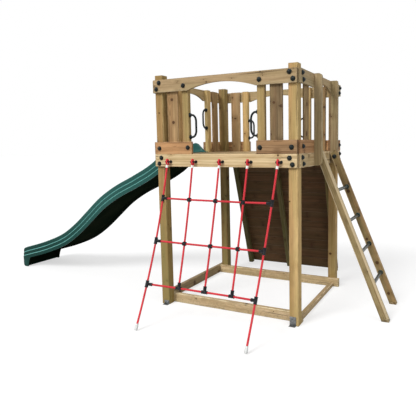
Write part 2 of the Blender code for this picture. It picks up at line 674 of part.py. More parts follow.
def make_wall_panel(axis):
    """Twelve grooved boards across the stringers, with climbing holds on the outer face."""
    up = Vector((0.0, -WALL_SLOPE, 1.0)).normalized()
    out = Vector((0.0, 1.0, WALL_SLOPE)).normalized()
    start = Vector((0.0, wall_line(0.0) + STRINGER_RUN, 0.0)) + out * GAP + up * WALL_FOOT_GAP
    length = (DECK_HEIGHT - 0.004) / up.z - WALL_FOOT_GAP
    pitch = length / WALL_BOARDS
    inner, outer = [(0.0, 0.0)], [(0.0, WALL_BOARD_THICK)]
    for index in range(1, WALL_BOARDS):
        seam, depth = index * pitch, WALL_GROOVE
        inner += [(seam - depth / 2, 0.0), (seam, depth), (seam + depth / 2, 0.0)]
        outer += [(seam - depth / 2, WALL_BOARD_THICK), (seam, WALL_BOARD_THICK - depth),
                  (seam + depth / 2, WALL_BOARD_THICK)]
    inner.append((length, 0.0))
    outer.append((length, WALL_BOARD_THICK))
    bm = extrude_outline(inner + outer[::-1], 2 * WALL_HALF_WIDTH)
    lay_outline(bm, up, out, Vector((1.0, 0.0, 0.0)))
    bmesh.ops.translate(bm, vec=start - Vector((WALL_HALF_WIDTH, 0.0, 0.0)), verts=bm.verts)
    panel = add_object("climbing_panel", bm, "wall_timber", axis)
    holds = bmesh.new()
    for row in range(5):
        for side in (-1, 1):
            across = side * (0.17 + 0.13 * ((row + (side > 0)) % 2))
            along = pitch * (1.5 + 2.2 * row)
            middle = start + up * along + out * WALL_BOARD_THICK + Vector((across, 0.0, 0.0))
            add_hold(holds, middle, up, out, 0.6 * row + side)
    boolean(panel, add_cutter("climbing_holds", holds, axis), "UNION")


def add_hold(bm, middle, up, out, turn):
    """One moulded climbing hold: a low tilted dome sunk a little into the boards."""
    across = up.cross(out)
    rings = []
    for level, (lift, scale) in enumerate(((-0.3, 1.0), (0.3, 1.0), (0.75, 0.78), (1.0, 0.42))):
        ring = []
        for side in range(10):
            angle = 2 * math.pi * side / 10
            radius = HOLD_RADIUS * scale * (1 + 0.14 * math.sin(2 * angle + turn))
            shift = 0.16 * HOLD_RADIUS * level
            ring.append(bm.verts.new(middle + across * radius * math.cos(angle)
                                     + up * (0.72 * radius * math.sin(angle) + shift)
                                     + out * HOLD_HEIGHT * lift))
        rings.append(ring)
    close_rings(bm, rings)


def net_column(index, height_below):
    """Side position of one upright rope, a given height below the hinge."""
    share = height_below / NET_HINGE_HEIGHT
    pitch = NET_PITCH - NET_TAPER * share + NET_TAPER_EASE * share ** 2
    return (index - (NET_COLUMNS - 1) / 2) * pitch


def net_point(index, height):
    """Point on one upright rope: the two outer ropes flare out to the ground."""
    below = NET_HINGE_HEIGHT - height
    if index in (0, NET_COLUMNS - 1):
        out = OUTER_ROPE_LEAN * below + OUTER_ROPE_FLARE * below ** 2
    else:
        out = INNER_ROPE_LEAN * below + INNER_ROPE_FLARE * below ** 2
    return Vector((net_column(index, below), NET_HINGE_DEPTH - out, height))


def make_net(axis):
    """Rope net of five upright and three level ropes, with moulded joints and end caps.

    The object's origin lies on the hinge axis, which runs through the eyes of the ropes.
    """
    hinge = Vector((0.0, NET_HINGE_DEPTH, NET_HINGE_HEIGHT))
    uprights, levels, upright_joints, level_joints, ends = [bmesh.new() for _ in range(5)]
    start = NET_HINGE_HEIGHT - EYE_RADIUS - 0.001
    last = NET_COLUMNS - 1
    for index in range(NET_COLUMNS):
        outer = index in (0, last)
        foot = 0.016 if outer else INNER_ROWS[-1]
        steps = 9 if outer else 5
        path = [net_point(index, start + (foot - start) * i / steps) - hinge
                for i in range(steps + 1)]
        sweep(uprights, path, [ROPE_RADIUS] * len(path), 8)
        add_eye(ends, Vector((net_column(index, 0.0), 0.0, 0.0)))
        add_sleeve(ends, index, COLLAR_HEIGHT, COLLAR_LENGTH, COLLAR_RADIUS, hinge)
        if outer:
            add_sleeve(ends, index, TIP_HEIGHT, TIP_LENGTH, TIP_RADIUS, hinge)
    for row, (outer_height, inner_height) in enumerate(zip(OUTER_ROWS, INNER_ROWS)):
        heights = [outer_height] + [inner_height] * (NET_COLUMNS - 2) + [outer_height]
        points = [net_point(i, height) - hinge for i, height in enumerate(heights)]
        sweep(levels, points, [ROPE_RADIUS * 0.97] * NET_COLUMNS, 8)
        for index, height in enumerate(heights):
            outer = index in (0, last)
            at_foot = row == 2 and not outer
            add_sleeve(upright_joints, index, height + (0.020 if at_foot else 0.0),
                       0.060 if outer or at_foot else 0.036, SLEEVE_RADIUS, hinge)
            reach = 0.048 if outer else (0.028 if at_foot else 0.018)
            path = [points[index]]
            if index > 0:
                step = (points[index - 1] - points[index]).normalized()
                path.insert(0, points[index] + step * reach)
            if index < last:
                step = (points[index + 1] - points[index]).normalized()
                path.append(points[index] + step * reach)
            sweep(level_joints, path, [SLEEVE_RADIUS * 0.93] * len(path), 8)
    net = add_object("cargo_net", uprights, "net_rope", axis, hinge, smooth=True)
    for name, bm in (("net_level_ropes", levels), ("net_upright_joints", upright_joints),
                     ("net_level_joints", level_joints), ("net_ends", ends)):
        boolean(net, add_cutter(name, bm, axis, hinge), "UNION")


def add_sleeve(bm, index, height, length, radius, hinge):
    """Short sleeve round one upright rope, centred on a height."""
    middle = net_point(index, height)
    along = (net_point(index, height + 0.01) - net_point(index, height - 0.01)).normalized()
    sweep(bm, [middle - along * length / 2 - hinge, middle + along * length / 2 - hinge],
          [radius] * 2, 10)


def add_eye(bm, middle):
    """Round eye at a rope's top, its hole running left to right."""
    around, sides = 14, 8
    rings = []
    for step in range(around):
        angle = 2 * math.pi * step / around
        spoke = Vector((0.0, math.cos(angle), math.sin(angle)))
        ring = []
        for side in range(sides):
            turn = 2 * math.pi * side / sides
            ring.append(bm.verts.new(middle + spoke * (EYE_RADIUS + EYE_THICK * math.cos(turn))
                                     + Vector((EYE_THICK * math.sin(turn), 0.0, 0.0))))
        rings.append(ring)
    for before, after in zip(rings, rings[1:] + rings[:1]):
        for index, vert in enumerate(before):
            follow = (index + 1) % sides
            bm.faces.new((vert, before[follow], after[follow], after[index]))


def handle_mesh():
    """D-shaped grab handle that stands out along +X from a mounting face at x = 0."""
    half = HANDLE_SPAN / 2
    path, radii = [], []
    for x, radius in ((0.0, HANDLE_BASE_RADIUS), (0.010, HANDLE_BASE_RADIUS),
                      (0.013, 0.015), (0.022, HANDLE_RADIUS)):
        path.append(Vector((x, 0.0, half)))
        radii.append(radius)
    for step in range(6):
        angle = math.radians(90 - 90 * step / 5)
        path.append(Vector((HANDLE_REACH - HANDLE_BEND + HANDLE_BEND * math.cos(angle), 0.0,
                            half - HANDLE_BEND + HANDLE_BEND * math.sin(angle))))
        radii.append(HANDLE_RADIUS)
    mirrored = [Vector((p.x, p.y, -p.z)) for p in reversed(path)]
    bm = bmesh.new()
    sweep(bm, path + mirrored, radii + radii[::-1], 10)
    bmesh.ops.recalc_face_normals(bm, faces=bm.faces)
    mesh = bpy.data.meshes.new("grab_handle")
    bm.to_mesh(mesh)
    bm.free()
    mesh.shade_smooth()
    mesh.set_sharp_from_angle(angle=math.radians(35))
    mesh.materials.append(make_material("handle_plastic"))
    return mesh


def make_handles(axis):
    """Two grab handles at each of the net, wall and slide entrances."""
    mesh = handle_mesh()
    inset = UPRIGHT_DEPTH / 2
    places = []
    for end, sy in (("front", -1), ("back", 1)):
        for side, sx in (("left", -1), ("right", 1)):
            turn = 0.0 if sx < 0 else math.pi
            places.append((f"handle_{end}_{side}", (sx * (FRONT_HALF - GAP), sy * (HALF_Y - inset),
                                                    FRONT_HANDLE_HEIGHT), turn))
    for end, sy in (("front", -1), ("back", 1)):
        places.append((f"handle_slide_{end}", (-HALF_X + inset, sy * (SLIDE_HALF - GAP),
                                               SLIDE_HANDLE_HEIGHT), -sy * math.pi / 2))
    for name, place, turn in places:
        obj = bpy.data.objects.new(name, mesh)
        obj.location = place
        obj.rotation_euler = (0.0, 0.0, turn)
        obj.parent = axis
        bpy.context.scene.collection.objects.link(obj)


def main():
    """Clear the scene and build every piece."""
    for obj in list(bpy.data.objects):
        bpy.data.objects.remove(obj, do_unlink=True)
    axis = make_tower_axis()
    make_posts(axis)
    make_ground_frame(axis)
    make_floor_beams(axis)
    make_top_rails(axis)
    make_kick_boards(axis)
    make_uprights(axis)
    make_infill_boards(axis)
    make_entry_boards(axis)
    make_deck(axis)
    make_slide(axis)
    make_ladder(axis)
    make_stringers(axis)
    make_wall_panel(axis)
    make_net(axis)
    make_handles(axis)


main()
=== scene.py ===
"""Looks of a garden climbing tower with a moulded slide, rung ladder, rope net and climbing wall.

Every size is in metres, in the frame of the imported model: +Z up, +X along the net side from the
slide towards the ladder, +Y from the net side towards the climbing wall. The origin is the foot
of the front left post. Sizes that belong to the tower are given from the tower's own middle.
"""

from __future__ import annotations

import logging
import math
import zlib
from collections.abc import Callable, Iterable, Sequence
from dataclasses import dataclass, field, replace
from enum import Enum
from typing import ClassVar

import bmesh
import bpy
from bmesh.types import BMesh, BMVert
from bpy.types import Material, Node, NodeSocket, NodeTree, Object
from mathutils import Euler, Matrix, Quaternion, Vector

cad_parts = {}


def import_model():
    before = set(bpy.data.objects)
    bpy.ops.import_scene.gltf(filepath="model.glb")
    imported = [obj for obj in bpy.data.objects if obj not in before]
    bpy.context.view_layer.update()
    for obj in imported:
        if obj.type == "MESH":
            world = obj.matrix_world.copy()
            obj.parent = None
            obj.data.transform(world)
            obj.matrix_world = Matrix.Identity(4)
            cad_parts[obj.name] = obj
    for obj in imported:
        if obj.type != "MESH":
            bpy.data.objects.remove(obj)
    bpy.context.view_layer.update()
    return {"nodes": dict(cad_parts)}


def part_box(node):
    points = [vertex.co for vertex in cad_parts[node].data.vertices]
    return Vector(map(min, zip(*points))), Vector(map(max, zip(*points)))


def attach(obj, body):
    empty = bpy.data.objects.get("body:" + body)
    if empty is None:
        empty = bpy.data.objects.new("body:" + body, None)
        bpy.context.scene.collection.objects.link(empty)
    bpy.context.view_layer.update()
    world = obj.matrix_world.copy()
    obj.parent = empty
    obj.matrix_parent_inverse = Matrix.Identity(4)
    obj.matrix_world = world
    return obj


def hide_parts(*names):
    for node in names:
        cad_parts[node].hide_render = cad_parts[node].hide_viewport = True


LOG = logging.getLogger("climbing_tower")

# Sizes that several sub-assemblies share: the tower's middle at the ground, half its plan over
# the posts, its outside faces over the boards, the ladder's lean, the wall's run for each metre
# of height, the gap between timbers that touch, and how far screw heads and plates stand off.
MIDDLE = Vector((0.6825, 0.6125, 0.0))
HALF_WIDTH = 0.725
HALF_DEPTH = 0.655
FACE_X = 0.750
FACE_Y = 0.680
DECK_HEIGHT = 1.500
LADDER_LEAN = math.radians(22.2)
WALL_SLOPE = 0.325
TOUCH = 0.0003
PROUD = 0.0002
Colour = tuple[float, float, float]


class Body(Enum):
    """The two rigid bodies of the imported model."""

    TOWER = "tower"
    NET = "net"


class Face(Enum):
    """The four outside faces of the tower, each with its outward direction."""

    FRONT = (0.0, -1.0, 0.0)
    BACK = (0.0, 1.0, 0.0)
    LEFT = (-1.0, 0.0, 0.0)
    RIGHT = (1.0, 0.0, 0.0)


# Shader helpers


class Graph:
    """Adds nodes to one shader tree and joins them."""

    def __init__(self, tree: NodeTree) -> None:
        """Keep the tree that new nodes go into."""
        self.tree = tree

    def feed(self, socket: NodeSocket, value: object) -> None:
        """Join a socket to another, or set its own value.

        Args:
            socket: the input to feed.
            value: an output socket, or a plain value.
        """
        if isinstance(value, NodeSocket):
            self.tree.links.new(value, socket)
            return
        if socket.type == "RGBA" and len(value) == 3:
            value = (*value, 1.0)
        socket.default_value = value

    def node(self, kind: str, inputs: dict | None = None, **settings: object) -> Node:
        """Add one node.

        Args:
            kind: Blender's name of the node type.
            inputs: input names or indices, each with a value or a socket.
            **settings: the node's own properties.

        Returns:
            The new node.
        """
        made = self.tree.nodes.new(kind)
        for key, value in settings.items():
            setattr(made, key, value)
        for key, value in (inputs or {}).items():
            self.feed(made.inputs[key], value)
        return made

    def maths(self, operation: str, *values: object) -> NodeSocket:
        """Result of a Math node on one to three values."""
        return self.node("ShaderNodeMath", dict(enumerate(values)), operation=operation).outputs[0]

    def times(self, first: object, second: object) -> NodeSocket:
        """Product of two values."""
        return self.maths("MULTIPLY", first, second)

    def plus(self, first: object, second: object) -> NodeSocket:
        """Sum of two values."""
        return self.maths("ADD", first, second)

    def minus(self, first: object, second: object) -> NodeSocket:
        """First value less the second."""
        return self.maths("SUBTRACT", first, second)

    def scaled(self, value: object, factor: object, start: object) -> NodeSocket:
        """A value times a factor, on top of a start."""
        return self.maths("MULTIPLY_ADD", value, factor, start)

    def vector(self, operation: str, *values: object) -> NodeSocket:
        """Result of a Vector Math node."""
        made = self.node("ShaderNodeVectorMath", dict(enumerate(values)), operation=operation)
        return made.outputs[0]

    def stretched(self, vector: object, scale: Sequence[float]) -> NodeSocket:
        """A vector with each of its axes scaled on its own."""
        return self.vector("MULTIPLY", vector, tuple(scale))

    def length(self, first: object, second: object) -> NodeSocket:
        """Length of a flat vector, from its two parts."""
        return self.maths("SQRT", self.plus(self.times(first, first), self.times(second, second)))

    def noise(self, vector: object, scale: float | tuple[float, ...] = 1.0, detail: float = 2.0,
              rough: float = 0.5) -> NodeSocket:
        """Value of a noise texture, from 0 to 1.

        Args:
            vector: where the noise is read.
            scale: one scale, or one for each axis.
            detail: number of finer layers.
            rough: strength of the finer layers.

        Returns:
            The value.
        """
        if isinstance(scale, tuple):
            vector, scale = self.stretched(vector, scale), 1.0
        made = self.node("ShaderNodeTexNoise", {"Vector": vector, "Scale": scale,
                                                "Detail": detail, "Roughness": rough})
        return made.outputs["Fac"]

    def step(self, value: object, low: float, high: float) -> NodeSocket:
        """Smooth step of a value, 0 at low and 1 at high."""
        made = self.node("ShaderNodeMapRange", {"Value": value, "From Min": low, "From Max": high},
                         interpolation_type="SMOOTHSTEP")
        return made.outputs["Result"]

    def fall(self, value: object, low: float, high: float) -> NodeSocket:
        """Smooth step the other way, 1 at low and 0 at high."""
        return self.minus(1.0, self.step(value, low, high))

    def mix(self, factor: object, first: object, second: object) -> NodeSocket:
        """Mixed colour of two colours."""
        parts = {"Factor": factor, 6: first, 7: second}
        return self.node("ShaderNodeMix", parts, data_type="RGBA").outputs[2]

    def split(self, vector: object) -> list[NodeSocket]:
        """The X, Y and Z of a vector."""
        return list(self.node("ShaderNodeSeparateXYZ", {0: vector}).outputs)

    def attribute(self, name: str, output: str = "Fac") -> NodeSocket:
        """Value or vector that the mesh carries under a name."""
        return self.node("ShaderNodeAttribute", attribute_name=name).outputs[output]

    def seen(self) -> NodeSocket:
        """What the eye sees, straight, mirrored or through glass, without what lights it.

        Returns:
            1 on rays of these kinds, and 0 on others.
        """
        path = self.node("ShaderNodeLightPath").outputs
        nearer = self.maths("MAXIMUM", path["Is Camera Ray"], path["Is Glossy Ray"])
        return self.maths("MAXIMUM", nearer, path["Is Transmission Ray"])


VECTOR, NUMBER, COLOUR = "NodeSocketVector", "NodeSocketFloat", "NodeSocketColor"
Sockets = dict[str, NodeSocket]


class LookGroup:
    """Shader group that turns a place and a few values into a look."""

    NAME: str
    INPUTS: tuple[tuple[str, str], ...]
    OUTPUTS = (("Color", COLOUR), ("Roughness", NUMBER), ("Height", NUMBER))

    @classmethod
    def group(cls) -> NodeTree:
        """The group, built on first use.

        Returns:
            Its node tree.
        """
        tree = bpy.data.node_groups.get(cls.NAME)
        if tree:
            return tree
        tree = bpy.data.node_groups.new(cls.NAME, "ShaderNodeTree")
        for way, sockets in (("INPUT", cls.INPUTS), ("OUTPUT", cls.OUTPUTS)):
            for label, kind in sockets:
                tree.interface.new_socket(name=label, in_out=way, socket_type=kind)
        source, target = tree.nodes.new("NodeGroupInput"), tree.nodes.new("NodeGroupOutput")
        cls.build(Graph(tree), {s.name: s for s in source.outputs if s.name},
                  {s.name: s for s in target.inputs if s.name})
        return tree

    @classmethod
    def build(cls, g: Graph, given: Sockets, out: Sockets) -> None:
        """Add the group's nodes.

        Args:
            g: the group's graph.
            given: the sockets that bring values in.
            out: the sockets that take the look out.
        """
        raise NotImplementedError


class SawnTimber(LookGroup):
    """Planed, pressure treated pine, as a solid cut from a log.

    The board runs along its own X. Growth rings are round a pith that lies off the board, so the
    faces show arches and the ends show rings. Branches run out from the pith, so each knot is
    cut where it meets a face, and the rings bend round it.
    """

    NAME = "sawn_timber"
    INPUTS = (("Board", VECTOR), ("Ground", VECTOR), ("Half Size", VECTOR), ("Seed", NUMBER),
              ("Early Wood", COLOUR), ("Late Wood", COLOUR), ("Heart Wood", COLOUR),
              ("Knot", COLOUR), ("Stain", COLOUR), ("Ring Width", NUMBER),
              ("Knot Amount", NUMBER), ("Check Amount", NUMBER), ("Stain Amount", NUMBER),
              ("Heart Amount", NUMBER), ("Dirt Amount", NUMBER), ("Wear Amount", NUMBER),
              ("Wear", COLOUR), ("Damp And Shade Amount", NUMBER), ("Painted Light Band Amount", NUMBER))
    SEED_SHIFT = (1.37, 0.71, 2.13)
    KNOTS_ALONG = 3.6
    KNOTS_ROUND = 1.35
    KNOT_STRETCH = 1.15
    KNOT_RADIUS = (0.0062, 0.0105)
    KNOT_TAPER = 0.20
    HEART_RADIUS = (0.070, 0.082)
    YEARS_PER_METRE = 75.0
    CRACK = (0.035, 0.020, 0.009)
    GRIME = (0.075, 0.055, 0.024)
    # Dark brown along the edges: grime, and painted shade where boards meet.
    EDGE_GRIME_AND_SHADE = (0.060, 0.042, 0.018)
    SPLASH = (0.070, 0.060, 0.020)
    SOOT = (0.02, 0.012, 0.005)

    @classmethod
    def build(cls, g: Graph, given: Sockets, out: Sockets) -> None:
        """Add the group's nodes.

        Args:
            g: the group's graph.
            given: the sockets that bring values in.
            out: the sockets that take the look out.
        """
        seed = given["Seed"]
        seeds = g.node("ShaderNodeCombineXYZ", {0: seed, 1: seed, 2: seed}).outputs[0]
        place = g.vector("ADD", given["Board"], g.stretched(seeds, cls.SEED_SHIFT))
        fibre = g.noise(place, (16.0, 420.0, 420.0), detail=2.0)
        streak = g.noise(place, (1.1, 30.0, 30.0), detail=4.0, rough=0.62)
        patch = g.noise(place, (1.1, 5.0, 5.0), detail=3.0, rough=0.6)
        radius, angle = cls.log(g, given, place)
        mottle = g.minus(g.noise(place, scale=75.0, detail=3.0), 0.5)
        knot, rim, halo = cls.branches(g, given, radius, angle, mottle)
        bent = g.plus(g.scaled(halo, 0.013, radius), g.times(fibre, 0.0010))
        ring = cls.ring(g, given, bent, patch)
        line = g.noise(place, (2.4, 105.0, 105.0), detail=3.0, rough=0.6)
        years = g.node("ShaderNodeCombineXYZ", {0: g.times(bent, cls.YEARS_PER_METRE), 1: seed})
        band = g.step(g.noise(years.outputs[0], detail=2.0), 0.38, 0.64)
        tone = g.times(ring, 0.28)
        for mask, share in ((band, 0.26), (g.step(streak, 0.40, 0.62), 0.36),
                            (g.step(line, 0.42, 0.68), 0.22), (g.step(fibre, 0.3, 0.8), 0.12)):
            tone = g.scaled(mask, share, tone)
        heart = g.fall(g.scaled(streak, 0.030, radius), *cls.HEART_RADIUS)
        heart = g.times(heart, given["Heart Amount"])
        colour = g.mix(tone, g.mix(heart, given["Early Wood"], given["Heart Wood"]),
                       g.mix(g.times(heart, 0.15), given["Late Wood"], given["Heart Wood"]))
        colour = g.mix(g.times(g.step(patch, 0.40, 0.66), given["Stain Amount"]), colour,
                       given["Stain"])
        colour = g.mix(g.times(halo, 0.55), colour, given["Late Wood"])
        colour = g.mix(knot, colour, given["Knot"])
        colour = g.mix(g.times(rim, 0.80), colour, g.mix(0.65, given["Knot"], (0.0, 0.0, 0.0)))
        crack = g.step(g.noise(place, (1.6, 95.0, 95.0), detail=1.0), 0.66, 0.72)
        zone = g.step(g.noise(place, (0.9, 6.0, 6.0), detail=0.0), 0.44, 0.58)
        check = g.times(g.times(crack, zone), given["Check Amount"])
        colour = g.mix(g.times(check, 0.85), colour, cls.CRACK)
        blotch = g.noise(place, (9.0, 26.0, 26.0), detail=4.0, rough=0.65)
        colour = cls.weather(g, given, blotch, streak, colour)
        colour = cls.damp_and_shade(g, given, (place, blotch, streak), colour)
        g.feed(out["Color"], colour)
        rough = g.scaled(streak, 0.22, 0.58)
        g.feed(out["Roughness"], g.minus(rough, g.times(knot, 0.15)))
        relief = g.plus(g.times(fibre, 0.35), g.times(ring, -0.25))
        relief = g.minus(g.scaled(knot, 0.5, relief), check)
        g.feed(out["Height"], relief)

    @classmethod
    def log(cls, g: Graph, given: Sockets, place: object) -> tuple[object, object]:
        """Distance from the pith and angle round it, wandering along the log.

        Args:
            g: the group's graph.
            given: the group's inputs.
            place: board coordinates shifted by the seed.

        Returns:
            Radius in metres and angle in radians.
        """
        seed = given["Seed"]
        _, across, through = g.split(given["Board"])
        drift = g.node("ShaderNodeTexNoise", {"Vector": g.stretched(place, (0.9, 2.0, 2.0)),
                                              "Scale": 1.0, "Detail": 1.0})
        drift_y, drift_z, _ = g.split(drift.outputs["Color"])
        pith_y = g.scaled(g.maths("SINE", g.times(seed, 12.9)), 0.045, 0.032)
        pith_z = g.scaled(g.maths("SINE", g.times(seed, 7.3)), 0.030, 0.075)
        dy = g.minus(g.scaled(drift_y, 0.064, across), pith_y)
        dz = g.minus(g.scaled(drift_z, 0.050, through), pith_z)
        return g.length(dy, dz), g.maths("ARCTAN2", dy, dz)

    @classmethod
    def branches(cls, g: Graph, given: Sockets, radius: object, angle: object,
                 wobble: object) -> tuple[object, object, object]:
        """Knots where branches run out of the log.

        Args:
            g: the group's graph.
            given: the group's inputs.
            radius: distance from the pith.
            angle: angle round the pith.
            wobble: noise that roughens the knots' outlines.

        Returns:
            Masks of the knot, its bark rim and the bent grain round it.
        """
        along, _, _ = g.split(given["Board"])
        u = g.scaled(along, cls.KNOTS_ALONG, given["Seed"])
        v = g.scaled(angle, cls.KNOTS_ROUND, g.times(given["Seed"], 1.618))
        flat = g.node("ShaderNodeCombineXYZ", {0: u, 1: v}).outputs[0]
        cells = g.node("ShaderNodeTexVoronoi", {"Vector": flat, "Scale": 1.0,
                                                "Randomness": 0.50}, voronoi_dimensions="2D")
        chance, size, _ = g.split(cells.outputs["Color"])
        centre_u, centre_v, _ = g.split(cells.outputs["Position"])
        du = g.maths("DIVIDE", g.minus(u, centre_u), cls.KNOTS_ALONG * cls.KNOT_STRETCH)
        dv = g.times(radius, g.maths("DIVIDE", g.minus(v, centre_v), cls.KNOTS_ROUND))
        distance = g.scaled(wobble, 0.0050, g.length(du, dv))
        present = g.maths("LESS_THAN", chance, given["Knot Amount"])
        least, spread = cls.KNOT_RADIUS
        thick = g.scaled(g.maths("POWER", size, 2.0), spread, least)
        thick = g.maths("MINIMUM", thick, g.times(radius, cls.KNOT_TAPER))
        share = g.maths("DIVIDE", distance, thick)
        knot = g.times(present, g.fall(share, 0.70, 1.05))
        rings = g.step(g.maths("SINE", g.times(share, 17.0)), -0.4, 0.9)
        inner = g.minus(0.55, g.times(g.step(share, 0.6, 1.0), 0.55))
        bark = g.minus(g.step(share, 0.70, 0.95), g.step(share, 1.00, 1.35))
        rim = g.times(present, g.maths("MAXIMUM", bark, g.times(rings, inner)))
        return knot, rim, g.times(present, g.fall(distance, 0.004, 0.055))

    @classmethod
    def ring(cls, g: Graph, given: Sockets, bent: object, patch: object) -> object:
        """Growth rings: each darkens slowly to its late wood and ends sharply.

        Args:
            g: the group's graph.
            given: the group's inputs.
            bent: distance from the pith, with the grain's bends.
            patch: broad noise that varies the rings' widths.

        Returns:
            Mask of the late wood.
        """
        count = g.scaled(patch, 2.4, g.maths("DIVIDE", bent, given["Ring Width"]))
        phase = g.maths("FRACT", count)
        return g.times(g.step(phase, 0.15, 0.90), g.fall(phase, 0.93, 1.0))

    @classmethod
    def weather(cls, g: Graph, given: Sockets, blotch: object, streak: object,
                colour: object) -> object:
        """Edge grime and painted shade, worn arrises and painted highlight, a painted light band,
        dark ends.

        Args:
            g: the group's graph.
            given: the group's inputs.
            blotch: noise of the grime.
            streak: noise along the grain.
            colour: colour of the clean wood.

        Returns:
            The weathered colour, with its painted light and shade.
        """
        room = g.vector("SUBTRACT", given["Half Size"], g.vector("ABSOLUTE", given["Board"]))
        end_room, side_room, face_room = g.split(room)
        low = g.maths("MINIMUM", side_room, face_room)
        high = g.maths("MAXIMUM", side_room, face_room)
        to_edge = g.maths("MAXIMUM", low, g.maths("MINIMUM", high, end_room))
        to_edge = g.scaled(g.minus(blotch, 0.5), 0.016, to_edge)
        grime = g.times(g.step(blotch, 0.42, 0.62), given["Dirt Amount"])
        # Darker along the board's edges: grime, and painted shade where boards meet.
        edge_grime_and_shade = g.times(g.fall(to_edge, 0.001, 0.009), g.scaled(grime, 0.6, 0.16))
        colour = g.mix(edge_grime_and_shade, colour, cls.EDGE_GRIME_AND_SHADE)
        colour = g.mix(g.times(grime, 0.22), colour, cls.GRIME)
        # Paler arrises: worn edges, and painted highlight where the edges catch the light.
        arris = g.times(g.fall(to_edge, 0.0005, 0.0060), g.step(streak, 0.36, 0.54))
        colour = g.mix(g.times(arris, given["Wear Amount"]), colour, given["Wear"])
        # Painted light: a paler band along one long face, where light falls on the front ladder
        # rail.
        _, _, depth = g.split(g.vector("SUBTRACT", given["Half Size"], given["Board"]))
        painted_light_band_mask = g.times(g.fall(depth, 0.017, 0.023), g.scaled(streak, 0.5, 0.75))
        colour = g.mix(g.times(painted_light_band_mask, given["Painted Light Band Amount"]), colour, given["Wear"])
        return g.mix(g.times(g.fall(end_room, 0.0004, 0.0016), 0.55), colour,
                     g.mix(0.4, given["Late Wood"], cls.SOOT))

    @classmethod
    def damp_and_shade(cls, g: Graph, given: Sockets, noises: tuple[object, object, object],
             colour: object) -> object:
        """Soil splashed up from the ground, and damp with painted shade up the foot of a post below
        the deck.

        Args:
            g: the group's graph.
            given: the group's inputs.
            noises: shifted place, and the noises of the grime and along the grain.
            colour: colour of the dry wood.

        Returns:
            The stained colour, with its painted shade.
        """
        place, blotch, streak = noises
        _, _, height = g.split(given["Ground"])
        splash = g.fall(g.scaled(blotch, 0.30, height), 0.10, 0.30)
        speck = g.step(g.noise(place, scale=70.0, detail=3.0, rough=0.7), 0.50, 0.62)
        colour = g.mix(g.times(splash, g.scaled(speck, 0.42, 0.14)), colour, cls.SPLASH)
        # Darker below the deck: damp drawn up the post, and painted shade from the deck above.
        damp_and_shade_below = g.fall(g.scaled(streak, 0.50, height), 0.60, 1.70)
        return g.mix(g.times(damp_and_shade_below, given["Damp And Shade Amount"]), colour,
                     g.mix(g.step(streak, 0.35, 0.65), given["Stain"], given["Late Wood"]))


class MouldedSkin(LookGroup):
    """Coloured moulded plastic: fine stipple, painted light higher up, painted ridge highlights and
    pale scuffs.
    """

    NAME = "moulded_skin"
    INPUTS = (("Vector", VECTOR), ("Base", COLOUR), ("Scuff", COLOUR), ("Scuff Amount", NUMBER),
              ("Ridge Light", NUMBER), ("Stipple", NUMBER), ("Gloss", NUMBER), ("Cloud", NUMBER),
              ("Fade", NUMBER))

    @classmethod
    def build(cls, g: Graph, given: Sockets, out: Sockets) -> None:
        """Add the group's nodes.

        Args:
            g: the group's graph.
            given: the sockets that bring values in.
            out: the sockets that take the look out.
        """
        place = given["Vector"]
        cloud = g.noise(place, scale=4.0, detail=3.0, rough=0.55)
        grain = g.noise(place, scale=900.0, detail=1.0)
        drag = g.noise(place, (7.0, 260.0, 7.0), detail=3.0, rough=0.6)
        scratches = g.times(g.step(drag, 0.56, 0.70), given["Scuff Amount"])
        _, _, height = g.split(place)
        colour = given["Base"]
        # Painted light higher up, random clouds, scratches and the painted ridge highlight each mix
        # towards the pale colour.
        for amount in (g.times(g.step(height, 0.18, 1.02), given["Fade"]),
                       g.times(g.step(cloud, 0.35, 0.75), given["Cloud"]),
                       g.times(scratches, 0.40), given["Ridge Light"]):
            colour = g.mix(amount, colour, given["Scuff"])
        g.feed(out["Color"], colour)
        rough = g.plus(given["Gloss"], g.times(cloud, 0.12))
        g.feed(out["Roughness"], g.scaled(scratches, 0.18, rough))
        relief = g.times(grain, given["Stipple"])
        g.feed(out["Height"], g.minus(relief, g.times(scratches, 0.4)))


class Spangle(LookGroup):
    """Hot dip zinc or plated steel: flat crystals of differing tone."""

    NAME = "zinc_spangle"
    INPUTS = (("Vector", VECTOR), ("Light", COLOUR), ("Dark", COLOUR), ("Scale", NUMBER))

    @classmethod
    def build(cls, g: Graph, given: Sockets, out: Sockets) -> None:
        """Add the group's nodes.

        Args:
            g: the group's graph.
            given: the sockets that bring values in.
            out: the sockets that take the look out.
        """
        crystals = g.node("ShaderNodeTexVoronoi", {"Vector": given["Vector"],
                                                   "Scale": given["Scale"]})
        tone, _, _ = g.split(crystals.outputs["Color"])
        cloud = g.noise(given["Vector"], scale=30.0, detail=3.0)
        shade = g.scaled(cloud, 0.5, g.times(tone, 0.5))
        g.feed(out["Color"], g.mix(shade, given["Dark"], given["Light"]))
        g.feed(out["Roughness"], g.scaled(tone, 0.18, 0.36))
        g.feed(out["Height"], tone)


def new_material(name: str) -> tuple[Material, Graph, Node]:
    """Empty material with a Principled shader.

    Args:
        name: name of the material.

    Returns:
        The material, its graph and its Principled node.
    """
    material = bpy.data.materials.new(name)
    material.use_nodes = True
    return material, Graph(material.node_tree), material.node_tree.nodes["Principled BSDF"]


def use_group(graph: Graph, shader: Node, group: NodeTree, values: dict, relief: float) -> None:
    """Put a look group in a material and join it to the shader.

    Args:
        graph: graph of the material.
        shader: the Principled node.
        group: the look group.
        values: the group's own input values.
        relief: depth of the relief, in metres.
    """
    look = graph.node("ShaderNodeGroup", node_tree=group)
    for key, value in values.items():
        graph.feed(look.inputs[key], value)
    graph.feed(shader.inputs["Base Color"], look.outputs["Color"])
    graph.feed(shader.inputs["Roughness"], look.outputs["Roughness"])
    bump = graph.node("ShaderNodeBump", {"Height": look.outputs["Height"], "Distance": relief,
                                         "Strength": 0.8})
    graph.feed(shader.inputs["Normal"], bump.outputs["Normal"])


# Finishes


